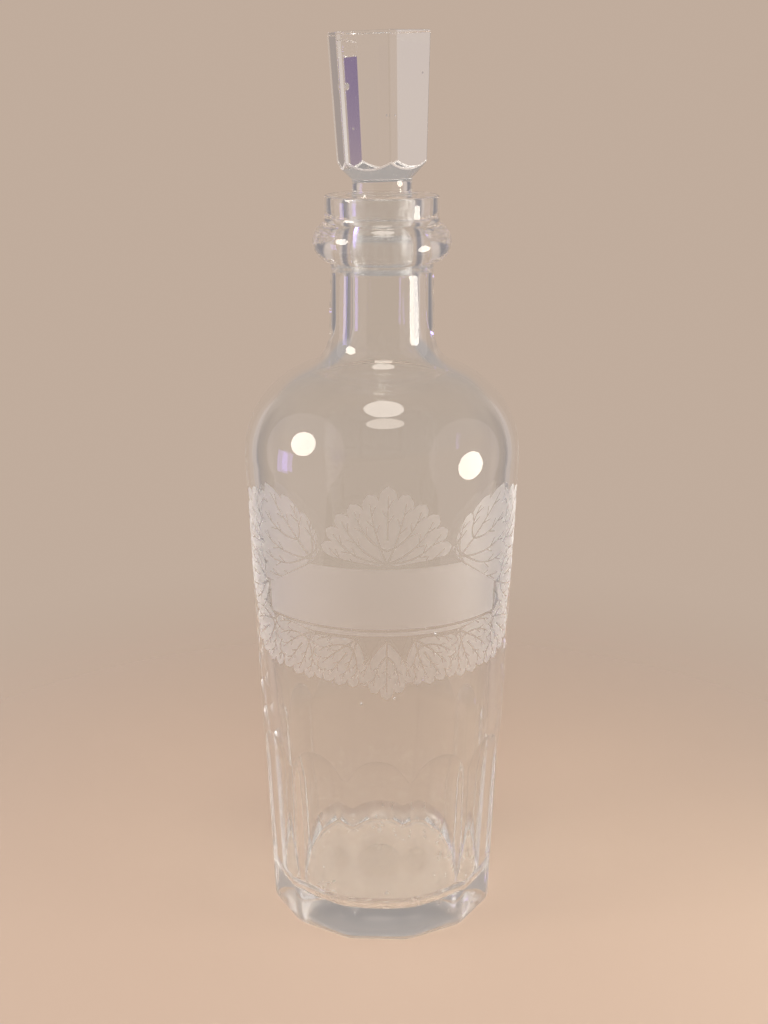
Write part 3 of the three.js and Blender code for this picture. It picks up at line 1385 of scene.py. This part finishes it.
    def mouth(self) -> Polygon:
        """Profile of the mouth and its ground taper, from the rim down.

        Returns:
            Its points, by radius and height.
        """
        radius = self.seat.radius(0.0)
        level = self.seat.rim_height - self.rim_round
        return [
            *arc((radius + self.rim_round, level), self.rim_round, 90.0, 180.0, self.rim_steps),
            *line((radius, level), self.seat_foot, self.seat_steps)[1:],
        ]

    def inside(self) -> Polygon:
        """Profile of the inside from the foot of the seat to the top of the heel.

        Returns:
            Its points, by radius and height.
        """
        dome = self.shoulder_round - self.body_wall
        centre, angle = self.fillet(self.seat.bore_radius, self.throat_round, dome)
        wall = arc(self.shoulder_centre, dome, -self.cone_angle, 0.0, 1)[0]
        heel = (self.panels().foot_apothem - self.panel_wall, self.heel_top)
        return [
            *line(self.seat_foot, (self.seat.bore_radius, centre[1]), self.bore_steps)[:-1],
            *arc(centre, self.throat_round, 180.0, angle + 180.0, self.fillet_steps),
            *arc(self.shoulder_centre, dome, angle, -self.cone_angle, self.dome_steps)[1:],
            *line(wall, heel, self.inside_steps)[1:],
        ]

    @property
    def heel_top(self) -> float:
        """Height where the inside's wall meets its heel."""
        return self.base_thickness + self.heel_round

    def floor_edge(self) -> float:
        """Radius where the inside's floor meets its heel."""
        return self.panels().foot_apothem - self.panel_wall - self.heel_round

    def heel(self, start: float, end: float) -> Polygon:
        """Profile of the inside's round heel between two angles below the level of its centre."""
        return arc((self.floor_edge(), self.heel_top), self.heel_round, -start, -end, self.heel_steps)

    def floor(self, start: float, end: float) -> Polygon:
        """Profile of the inside's crowned floor between two radii.

        Args:
            start: The first radius.
            end: The last radius.

        Returns:
            Its points, by radius and height.
        """
        size = (self.floor_edge() ** 2 + self.floor_rise ** 2) / (2 * self.floor_rise)
        first, last = (math.degrees(math.acos(radius / size)) for radius in (start, end))
        centre = (0.0, self.base_thickness + self.floor_rise - size)
        return arc(centre, size, first, last, self.floor_steps)

    def add_turned_glass(self, draft: GlassDraft) -> None:
        """Add the shoulder, neck, ring, mouth and inside, turned about the axis.

        Args:
            draft: Where the faces go.
        """
        angles = [round(angle % FULL_TURN, ANGLE_DIGITS) for angle in self.columns(False)]
        stretches = (
            (self.outside(), Surface.POLISHED),
            (self.mouth(), Surface.GROUND),
            (self.inside(), Surface.POLISHED),
            (self.heel(0.0, self.film_angle), Surface.POLISHED),
            (self.heel(self.film_angle, 90.0), Surface.CLOUDED),
            (self.floor(self.floor_edge(), self.film_radius), Surface.CLOUDED),
            (self.floor(self.film_radius, 0.0), Surface.POLISHED),
        )
        last = None
        for profile, surface in stretches:
            rows = [self.rippled_ring(draft, angles, radius, height, surface) for radius, height in profile]
            if last is not None and last != rows[0]:
                draft.turned([last, rows[0]], surface)
            draft.turned(rows, surface)
            last = rows[-1]

    def rippled_ring(
        self, draft: GlassDraft, angles: Sequence[float], radius: float, height: float, surface: Surface,
    ) -> list[int]:
        """Add a row of the turned glass, blown a little unevenly on the inside wall.

        Args:
            draft: Where the points go.
            angles: The angles of the columns.
            radius: The row's radius.
            height: The row's height.
            surface: The finish of its stretch.

        Returns:
            The numbers of its points.
        """
        within = self.wall_radius(min(height, self.wall_top)) - self.inner_gap
        inner = surface is Surface.POLISHED and radius < within
        if not inner or not self.heel_top < height < self.shoulder_height:
            return draft.ring(angles, radius, height)
        low, high = self.ripple_fade
        fade = min(1.0, (height - self.heel_top) / low, (self.shoulder_height - height) / high)
        numbers = []
        for angle in angles:
            turn = math.radians(angle)
            wave = sum(
                share * math.sin(count * turn + height / pitch) for count, pitch, share in self.ripple_waves
            )
            numbers.append(draft.point(*around(angle, radius + self.ripple * fade * wave), height))
        return numbers

    def normals(self, places: np.ndarray, facings: np.ndarray) -> np.ndarray:
        """Normals of the wall and the panels; the rest is left smooth.

        Args:
            places: Face corners, in millimetres.
            facings: Where each corner's normal comes from.

        Returns:
            A normal for each corner, or zeros where Blender's own is kept.
        """
        found = np.zeros_like(places)
        flats = facings >= 0
        found[flats] = self.panels().normals(places[flats], facings[flats])
        wall = facings == Facing.WALL
        turn = np.arctan2(places[wall, 0], -places[wall, 1])
        height = places[wall, 2]
        rise = np.clip((height - self.shoulder_height) / self.shoulder_round, -1.0, 1.0)
        steep = np.where(height > self.cone_top[1], rise, -math.sin(math.radians(self.cone_angle)))
        level = np.sqrt(1.0 - steep ** 2)
        found[wall] = np.stack([level * np.sin(turn), -level * np.cos(turn), steep], axis=1)
        return found

    def build(self, finishes: dict[Surface, bpy.types.Material]) -> bpy.types.Object:
        """Make the bottle's glass.

        Args:
            finishes: The material of each finish.

        Returns:
            The finished object.
        """
        draft = GlassDraft()
        self.add_wall(draft)
        self.add_foot(draft)
        self.add_turned_glass(draft)
        seeds = [
            AirSeed(angle, self.wall_radius(height) - self.seed_depth, height, size)
            for angle, height, size in self.seeds
        ]
        blow_seeds(draft, seeds, finishes[Surface.POLISHED])
        obj = draft.to_object("bottle_glass")
        self.panels().grind(obj, finishes)
        dress_normals(obj.data, draft, self.normals)
        return obj


def frosted(shapes: list[ShapeAreas], inside: set[int]) -> bool:
    """Whether a triangle of the wall is etched: the front shape that it lies in decides.

    Args:
        shapes: Areas of the core, the edge and the lines of each shape, front to back.
        inside: The areas that the triangle lies in.

    Returns:
        True where it is frosted.
    """
    for core, edge, lines in shapes:
        if core in inside:
            return not inside.intersection(lines)
        if edge in inside:
            return False
    return False


def dress_normals(mesh: bpy.types.Mesh, draft: GlassDraft, rule: NormalRule) -> None:
    """Shade a mesh smooth, with the exact normals that a rule gives.

    Args:
        mesh: The mesh, whose corners are in the draft's order.
        draft: The draft that it was made from.
        rule: Function of corner places and facings that gives normals, zero where none is set.
    """
    mesh.polygons.foreach_set("use_smooth", [True] * len(mesh.polygons))
    corners = np.zeros(len(mesh.loops), dtype=np.int32)
    mesh.loops.foreach_get("vertex_index", corners)
    places = np.zeros(len(mesh.vertices) * 3)
    mesh.vertices.foreach_get("co", places)
    at_corners = places.reshape(-1, 3)[corners] / MM
    mesh.normals_split_custom_set(rule(at_corners, np.array(draft.facings)).tolist())
    for name in ("surface", "inset"):
        mesh.attributes.remove(mesh.attributes[name])


@dataclass
class Stopper:
    """The stopper: one piece of glass with a six-sided head that leans, a shank and a ground plug."""

    seat: GroundSeat = GroundSeat()
    seat_clearance: float = 0.2
    plug_inset: float = 1.0
    plug_length: float = 22.0
    plug_chamfer: float = 0.6
    plug_round: float = 0.4
    tip_share: float = 0.6
    shank_step: float = 1.0
    shank_length: float = 4.7
    sides: int = 6
    head_height: float = 42.7
    foot_radius: float = 14.3
    top_radius: float = 16.45
    head_turn: float = 11.0
    head_lean: float = -1.5
    edge_round: float = 0.35
    ridge_round: float = 0.67
    head_fillet: float = 0.3
    column_step: float = 6.0
    blank_share: float = 1.4
    plug_steps: int = 8
    shank_steps: int = 3
    round_steps: int = 3
    facet_rows: int = 6
    seeds: tuple[AirSeed, ...] = (
        AirSeed(-60.0, 10.3, 269.7, 0.80),
        AirSeed(75.0, 12.2, 273.0, 0.30),
        AirSeed(20.0, 8.0, 261.2, 0.30),
    )

    @property
    def head_base(self) -> float:
        """Height of the head's lower end."""
        return self.seat.rim_height + self.shank_length

    @property
    def shank_radius(self) -> float:
        """Radius of the shank between the plug and the head."""
        return self.plug_radius(self.plug_inset) - self.shank_step

    def plug_radius(self, depth: float) -> float:
        """Radius of the plug at a depth below the rim."""
        return self.seat.radius(depth) - self.seat_clearance

    def facets(self) -> FlatCut:
        """The flats of the head.

        Returns:
            The cut.
        """
        half = FULL_TURN / 2 / self.sides
        slope = (self.top_radius - self.foot_radius) * math.cos(math.radians(half)) / self.head_height
        apothem = self.foot_radius * math.cos(math.radians(half)) - slope * self.head_base
        return FlatCut(self.sides, self.head_turn + half, apothem, slope, self.ridge_round)

    def columns(self) -> list[tuple[float, int]]:
        """Columns of the mesh, with close pairs at the corners.

        Returns:
            The angle and the facet of each.
        """
        cut = self.facets()
        soft = cut.soft_angle(cut.apothem(self.head_base))
        plain = np.arange(self.column_step, 2 * cut.half, self.column_step)
        steps = [0.0, soft, *plain, 2 * cut.half - soft]
        return [(cut.ridge(k) + step, k) for k in range(self.sides) for step in steps]

    def edge_rise(self, angle: float, facet: int) -> float:
        """Height above the head's base where the lower cone meets a facet.

        Args:
            angle: The column's angle.
            facet: The facet's number.

        Returns:
            The height.
        """
        cut = self.facets()
        lean_out = math.cos(math.radians(angle - cut.turn - 2 * cut.half * facet))
        foot = cut.apothem(self.head_base) / lean_out
        return (foot - self.shank_radius) / (1.0 - cut.slope / lean_out)

    def add_plug(self, draft: GlassDraft, angles: Sequence[float]) -> list[int]:
        """Add the plug and the shank up to the head.

        Args:
            draft: Where the faces go.
            angles: The angles of the columns.

        Returns:
            The numbers of the last row's points.
        """
        tip_depth = self.plug_inset + self.plug_length
        tip = self.seat.rim_height - tip_depth
        neck = self.seat.rim_height - self.plug_inset
        top = self.plug_radius(self.plug_inset)
        soft = self.plug_round
        end = [
            (0.0, tip),
            (self.tip_share * self.seat.bore_radius, tip),
            (self.plug_radius(tip_depth) - self.plug_chamfer, tip),
            (self.plug_radius(tip_depth - self.plug_chamfer), tip + self.plug_chamfer),
        ]
        taper = line(end[-1], (top, neck - soft), self.plug_steps)
        shank_top = (self.shank_radius, self.head_base - self.head_fillet)
        step = [
            (top, neck - soft),
            *arc((top - soft, neck - soft), soft, 0.0, 90.0, self.round_steps)[1:],
            *arc((self.shank_radius + soft, neck + soft), soft, -90.0, -180.0, self.round_steps),
            *line((self.shank_radius, neck + soft), shank_top, self.shank_steps)[1:],
        ]
        for profile, surface in ((end, Surface.POLISHED), (taper, Surface.GROUND), (step, Surface.POLISHED)):
            rows = [draft.ring(angles, radius, height) for radius, height in profile]
            draft.turned(rows, surface)
        return rows[-1]

    def add_head(self, draft: GlassDraft, last: list[int]) -> None:
        """Add the head: a cone from the shank, the facets with softened corners and the flat top.

        Args:
            draft: Where the faces go.
            last: The shank's last row.
        """
        columns = self.columns()
        cut = self.facets()
        blank = self.blank_share * self.top_radius
        top = self.head_base + self.head_height
        soft = self.edge_round

        def row(rise: ByColumn, radius: ByColumn, inset: float = 0.0) -> list[int]:
            """Add a row of points, column by column.

            Args:
                rise: Gives the height above the head's base.
                radius: Gives the radius.
                inset: How far the row lies inside the facets.

            Returns:
                The numbers of its points.
            """
            return [
                draft.point(*around(angle, radius(angle, facet)), self.head_base + rise(angle, facet), inset)
                for angle, facet in columns
            ]

        def cone(angle: float, facet: int) -> float:
            """Radius of the lower cone just under its edge."""
            return self.shank_radius + self.edge_rise(angle, facet) - soft

        start = row(lambda *_: self.head_fillet, lambda *_: self.shank_radius + self.head_fillet)
        under = row(lambda *at: self.edge_rise(*at) - soft, cone)
        draft.turned([last, start], Surface.POLISHED)
        draft.turned([start, under], Surface.POLISHED, Facing.CONE)
        low = [self.edge_rise(*at) + soft for at in columns]
        rows = []
        for share in np.linspace(0.0, 1.0, self.facet_rows):
            heights = dict(zip(columns, (rise + (self.head_height - soft - rise) * share for rise in low)))
            rows.append(row(lambda *at: heights[at], lambda *_: blank))
        rim = row(lambda *_: self.head_height, lambda *_: blank, soft)
        self.join(draft, under, rows[0], Facing.CONE, None, Surface.WORN)
        for lower, upper in zip(rows, rows[1:]):
            self.join(draft, lower, upper, None, None)
        self.join(draft, rows[-1], rim, None, Facing.TOP)
        angles = [angle for angle, _ in columns]
        inner = draft.ring(angles, cut.apothem(top) / 2, top)
        middle = draft.ring(angles, 0.0, top)
        draft.turned([rim, inner, middle], Surface.POLISHED, Facing.TOP)

    def join(
        self, draft: GlassDraft, low: list[int], high: list[int], below: int | None, above: int | None,
        surface: Surface = Surface.POLISHED,
    ) -> None:
        """Join two rows of the head.

        Args:
            draft: Where the faces go.
            low: The lower row.
            high: The upper row.
            below: Facing of the lower row, or None for the column's facet.
            above: Facing of the upper row, or None for the column's facet.
            surface: The finish.
        """
        facets = [facet for _, facet in self.columns()]
        for i in range(len(low)):
            facet = facets[i - 1]
            lower = facet if below is None else int(below)
            upper = facet if above is None else int(above)
            draft.face([low[i - 1], low[i], high[i], high[i - 1]], surface, (lower, lower, upper, upper))

    def normals(self, places: np.ndarray, facings: np.ndarray) -> np.ndarray:
        """Normals of the facets, the lower cone and the top of the upright head; the rest is left smooth.

        Args:
            places: Face corners, in millimetres.
            facings: Where each corner's normal comes from.

        Returns:
            A normal for each corner, or zeros where Blender's own is kept.
        """
        found = np.zeros_like(places)
        flats = facings >= 0
        found[flats] = self.facets().normals(places[flats], facings[flats])
        found[facings == Facing.TOP] = (0.0, 0.0, 1.0)
        cone = facings == Facing.CONE
        turn = np.arctan2(places[cone, 0], -places[cone, 1])
        slant = np.stack([np.sin(turn), -np.cos(turn), -np.ones_like(turn)], axis=1)
        found[cone] = slant / math.sqrt(2.0)
        return found

    def lean_head(self, mesh: bpy.types.Mesh) -> Matrix:
        """Tilt the head on its shank, as it was shaped by hand.

        Args:
            mesh: The stopper's mesh, upright.

        Returns:
            The tilt.
        """
        turn = Matrix.Rotation(math.radians(self.head_lean), 3, "Y")
        base = Vector((0.0, 0.0, self.head_base * MM))
        for vertex in mesh.vertices:
            if vertex.co.z > base.z:
                vertex.co = base + turn @ (vertex.co - base)
        return turn

    def build(self, finishes: dict[Surface, bpy.types.Material]) -> bpy.types.Object:
        """Make the stopper's glass.

        Args:
            finishes: The material of each finish.

        Returns:
            The finished object.
        """
        draft = GlassDraft()
        last = self.add_plug(draft, [angle for angle, _ in self.columns()])
        self.add_head(draft, last)
        blow_seeds(draft, self.seeds, finishes[Surface.POLISHED])
        obj = draft.to_object("stopper_glass")
        self.facets().grind(obj, finishes)
        upright = obj.data.copy()
        turn = self.lean_head(obj.data)

        def rule(_: np.ndarray, facings: np.ndarray) -> np.ndarray:
            """Work the normals out on the upright head, and lean them with it.

            Args:
                _: Corners of the leaning head, which aren't needed.
                facings: Where each corner's normal comes from.

            Returns:
                A normal for each corner.
            """
            corners = np.array([loop.vertex_index for loop in upright.loops])
            places = np.array([vertex.co[:] for vertex in upright.vertices])[corners] / MM
            return self.normals(places, facings) @ np.array(turn).T

        dress_normals(obj.data, draft, rule)
        bpy.data.meshes.remove(upright)
        return obj


@dataclass(frozen=True)
class SoftLamp:
    """A lamp of the studio, aimed at the bottle's shoulder."""

    name: str
    azimuth: float
    elevation: float
    distance: float
    width: float
    power: float
    colour: Colour = (1.0, 0.96, 0.90)
    shape: LampShape = LampShape.ROUND
    height: float = 0.0
    through_glass: bool = True

    def build(self, target: Vector) -> bpy.types.Object:
        """Hang the lamp and give its object.

        Args:
            target: The point that it faces.

        Returns:
            The lamp's object.
        """
        light = bpy.data.lights.new(self.name, "AREA")
        light.shape = self.shape.value
        light.size = self.width
        if self.shape is not LampShape.ROUND:
            light.size_y = self.height
        light.energy = self.power
        light.color = self.colour
        lamp = put_object(self.name, light)
        level = math.cos(math.radians(self.elevation)) * self.distance
        x, y = around(self.azimuth, level)
        lamp.location = target + Vector((x, y, math.sin(math.radians(self.elevation)) * self.distance))
        lamp.rotation_euler = (target - lamp.location).to_track_quat("-Z", "Y").to_euler()
        lamp.visible_camera = False
        lamp.visible_transmission = self.through_glass
        return lamp


@dataclass(frozen=True)
class RoomPane:
    """A round patch of the room's wall, by its direction, its angle across and the angle it fades over."""

    azimuth: float
    elevation: float
    across: float
    colour: Colour
    softness: float

    def paint(
        self, sketch: NodeSketch, direction: bpy.types.NodeSocket, wall: bpy.types.NodeSocket,
    ) -> bpy.types.NodeSocket:
        """Lay the patch over the wall.

        Args:
            sketch: The world's tree.
            direction: The direction of the ray.
            wall: The wall's colour.

        Returns:
            The socket of the new colour.
        """
        rise = math.radians(self.elevation)
        axis = (*around(self.azimuth, math.cos(rise)), math.sin(rise))
        facing = sketch.add("ShaderNodeVectorMath", {0: direction, 1: axis}, operation="DOT_PRODUCT")
        edge = math.cos(math.radians(self.across / 2 + self.softness))
        full = math.cos(math.radians(self.across / 2))
        inside = sketch.fade(facing.outputs["Value"], edge, full, Fade.EVEN)
        return sketch.mix(inside, wall, (*self.colour, 1.0))


@dataclass
class Studio:
    """The pale floor, the soft light and the camera.

    The stops of the backdrop, its edges and its flanks are shares of the half turn from straight behind the
    bottle to the camera. The rises of the wall and the roof are heights of a ray one long.
    """

    floor_radius: float = 1.6
    floor_gap: float = 0.0002
    floor_step: float = 5.0
    floor_fade: Point2 = (0.08, 0.36)
    paper_roughness: float = 0.9
    paper_sheen: float = 0.1
    floor_colour: Colour = (0.535, 0.42, 0.34)
    backdrop_colour: Colour = (0.53, 0.415, 0.335)
    edge_colour: Colour = (0.62, 0.52, 0.46)
    flank_colour: Colour = (0.26, 0.24, 0.25)
    sky_colour: Colour = (0.43, 0.385, 0.36)
    roof_colour: Colour = (0.33, 0.30, 0.285)
    backdrop_end: float = 0.18
    edge_stops: Point2 = (0.20, 0.24)
    flank_stops: Point2 = (0.265, 0.35)
    backdrop_start: float = 0.41
    wall_rise: Point2 = (0.25, 0.42)
    roof_rise: Point2 = (0.62, 0.82)
    panes: tuple[RoomPane, ...] = (
        RoomPane(82.0, 3.0, 2.0, (0.80, 0.72, 0.68), 9.0),
        RoomPane(-38.0, 17.0, 3.0, (0.19, 0.13, 0.25), 8.0),
    )
    camera_place: tuple[float, float, float] = (0.62, -450.0, 271.9)
    camera_pitch: float = 16.78
    lens: float = 50.66
    sensor_width: float = 36.0
    clip_end: float = 200.0
    bounces: int = 96
    clear_bounces: int = 32
    aim: tuple[float, float, float] = (0.0, 0.0, 165.0)
    lamps: tuple[SoftLamp, ...] = (
        SoftLamp("left_umbrella", -70.0, 10.0, 0.66, 1.06, 1.6, (1.0, 0.88, 0.92), through_glass=False),
        SoftLamp("left_bulb", -70.0, 19.0, 0.60, 0.245, 2.0, (1.0, 0.93, 0.82), through_glass=False),
        SoftLamp("right_umbrella", 74.0, 4.0, 0.66, 0.98, 1.3, (1.0, 0.88, 0.94), through_glass=False),
        SoftLamp("right_bulb", 72.5, -3.3, 0.33, 0.142, 0.67, (1.0, 0.93, 0.82), through_glass=False),
        SoftLamp("window", -86.0, -3.0, 0.60, 0.12, 0.24, (0.45, 0.34, 1.0), LampShape.OBLONG, 0.18),
        SoftLamp("overhead", 4.0, 76.0, 0.70, 0.31, 1.5, (1.0, 0.94, 0.86), LampShape.OVAL, 0.28, False),
        SoftLamp(
            "overhead_front", 4.0, 57.0, 0.70, 0.33, 0.70, (1.0, 0.92, 0.82), LampShape.OVAL, 0.16, False,
        ),
    )

    def add_camera(self) -> None:
        """Stand the camera where the photograph was taken from."""
        camera = bpy.data.cameras.new("camera")
        camera.lens = self.lens
        camera.sensor_width = self.sensor_width
        camera.clip_end = self.clip_end
        obj = put_object("camera", camera)
        obj.location = Vector(self.camera_place) * MM
        obj.rotation_euler = (math.radians(90.0 - self.camera_pitch), 0.0, 0.0)
        bpy.context.scene.camera = obj

    def add_floor(self) -> None:
        """Lay the pale floor, a disc of matt paper that fades into the backdrop far out."""
        mesh = bpy.data.meshes.new("floor")
        turns = np.arange(0.0, FULL_TURN, self.floor_step)
        rim = [Vector((*around(angle, self.floor_radius), -self.floor_gap)) for angle in turns]
        mesh.from_pydata(rim, [], [list(range(len(rim)))])
        material = bpy.data.materials.new("pale_paper")
        sketch = NodeSketch.afresh(material)
        paper = sketch.add("ShaderNodeBsdfPrincipled", {
            "Base Color": (*self.floor_colour, 1.0),
            "Roughness": self.paper_roughness,
            "Specular IOR Level": self.paper_sheen,
        })
        fade = sketch.fade(sketch.length(sketch.place()), *self.floor_fade)
        open_room = sketch.add("ShaderNodeBsdfTransparent")
        mix = sketch.add("ShaderNodeMixShader", {0: fade, 1: paper.outputs[0], 2: open_room.outputs[0]})
        sketch.add("ShaderNodeOutputMaterial", {"Surface": mix.outputs[0]})
        mesh.materials.append(material)
        floor = put_object("floor", mesh)

    def add_ramp(
        self, sketch: NodeSketch, value: bpy.types.NodeSocket, stops: Sequence[tuple[float, Colour]],
    ) -> bpy.types.NodeSocket:
        """Add a colour ramp over a value and give its colour.

        Args:
            sketch: The tree that it goes into.
            value: What the ramp runs over.
            stops: Positions and colours, from the lowest up.

        Returns:
            The socket of its colour.
        """
        ramp = sketch.add("ShaderNodeValToRGB", {0: value})
        elements = ramp.color_ramp.elements
        for _ in stops[2:]:
            elements.new(RAMP_MIDDLE)
        for element, (position, colour) in zip(elements, stops):
            element.position = position
            element.color = (*colour, 1.0)
        return ramp.outputs["Color"]

    def add_world(self) -> None:
        """Light the room: a backdrop with pale edges and dim flanks, a wall above, a roof and the panes."""
        world = bpy.data.worlds.new("room")
        sketch = NodeSketch.afresh(world)
        direction = sketch.add("ShaderNodeTexCoord").outputs["Generated"]
        x, y, z = sketch.add("ShaderNodeSeparateXYZ", {0: direction}).outputs
        from_back = sketch.math("DIVIDE", sketch.math("ARCTAN2", sketch.math("ABSOLUTE", x), y), math.pi)
        low = self.add_ramp(sketch, from_back, (
            (self.backdrop_end, self.backdrop_colour),
            *((stop, self.edge_colour) for stop in self.edge_stops),
            *((stop, self.flank_colour) for stop in self.flank_stops),
            (self.backdrop_start, self.backdrop_colour),
        ))
        high = self.add_ramp(sketch, z, tuple(zip(self.roof_rise, (self.sky_colour, self.roof_colour))))
        room = sketch.mix(sketch.fade(z, *self.wall_rise, Fade.EVEN), low, high)
        for pane in self.panes:
            room = pane.paint(sketch, direction, room)
        light = sketch.add("ShaderNodeBackground", {"Color": room, "Strength": 1.0})
        plain = sketch.add("ShaderNodeBackground", {"Color": (*self.backdrop_colour, 1.0), "Strength": 1.0})
        seen = sketch.add("ShaderNodeLightPath").outputs["Is Camera Ray"]
        mix = sketch.add("ShaderNodeMixShader", {0: seen, 1: light.outputs[0], 2: plain.outputs[0]})
        sketch.add("ShaderNodeOutputWorld", {"Surface": mix.outputs[0]})
        bpy.context.scene.world = world

    def build(self) -> None:
        """Set the studio up."""
        self.add_camera()
        self.add_floor()
        self.add_world()
        for lamp in self.lamps:
            lamp.build(Vector(self.aim) * MM)
        scene = bpy.context.scene
        scene.view_settings.view_transform = "Standard"
        scene.cycles.max_bounces = self.bounces
        scene.cycles.transmission_bounces = self.bounces
        scene.cycles.glossy_bounces = self.bounces
        scene.cycles.transparent_max_bounces = self.clear_bounces


POLISHED = GlassFinish("polished_glass")
ETCHED = GlassFinish(
    "etched_glass", (0.95, 0.96, 0.975), transmission=0.93, roughness=(0.36, 0.52),
    grain_scale=900.0, bump=0.15,
)
GROUND = GlassFinish(
    "ground_glass", (0.95, 0.965, 0.975), roughness=(0.04, 0.20),
    grain_scale=700.0, grain_stretch=0.2, bump=0.2,
)
# The film's darker tint at the top of the heel is a painted shade.
CLOUDED = CloudedPaintedShadeFinish(
    "clouded_glass", (0.97, 0.98, 0.98), transmission=0.97, roughness=(0.08, 0.30),
    grain_scale=160.0, bump=0.005,
)
# Worn arch edges: rougher glass, with a darker tint that is a painted shade line.
WORN = GlassFinish(
    "worn_edge_glass", (0.88, 0.88, 0.87), transmission=0.97, roughness=(0.03, 0.20), grain_scale=1500.0,
)
STOPPER_WORN = GlassFinish(
    "stopper_worn_glass", (0.95, 0.96, 0.97), transmission=0.75, roughness=(0.25, 0.6),
    grain_scale=900.0, bump=0.5,
)


def hand_over(piece: bpy.types.Object, body: str) -> None:
    """Let a finished piece stand for its CAD node.

    Args:
        piece: The piece.
        body: The CAD body that it moves with, which is also its node's name.
    """
    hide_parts(body)
    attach(piece, body)
    log.info("%s: %d faces, stands for %s", piece.name, len(piece.data.polygons), body)


def main() -> None:
    """Build the studio and the two pieces."""
    logging.basicConfig(level=logging.INFO, format="%(name)s: %(message)s")
    Studio().build()
    finishes = {
        Surface.POLISHED: POLISHED.material(),
        Surface.ETCHED: ETCHED.material(),
        Surface.GROUND: GROUND.material(),
        Surface.CLOUDED: CLOUDED.material(),
        Surface.WORN: WORN.material(),
    }
    hand_over(Bottle().build(finishes), "bottle")
    clear = replace(POLISHED, name="stopper_polished_glass").material()
    stopper_finishes = {
        Surface.POLISHED: clear,
        Surface.ETCHED: clear,
        Surface.GROUND: replace(GROUND, name="stopper_ground_glass").material(),
        Surface.CLOUDED: clear,
        Surface.WORN: STOPPER_WORN.material(),
    }
    hand_over(Stopper().build(stopper_finishes), "stopper")


if __name__ == "__main__":
    main()
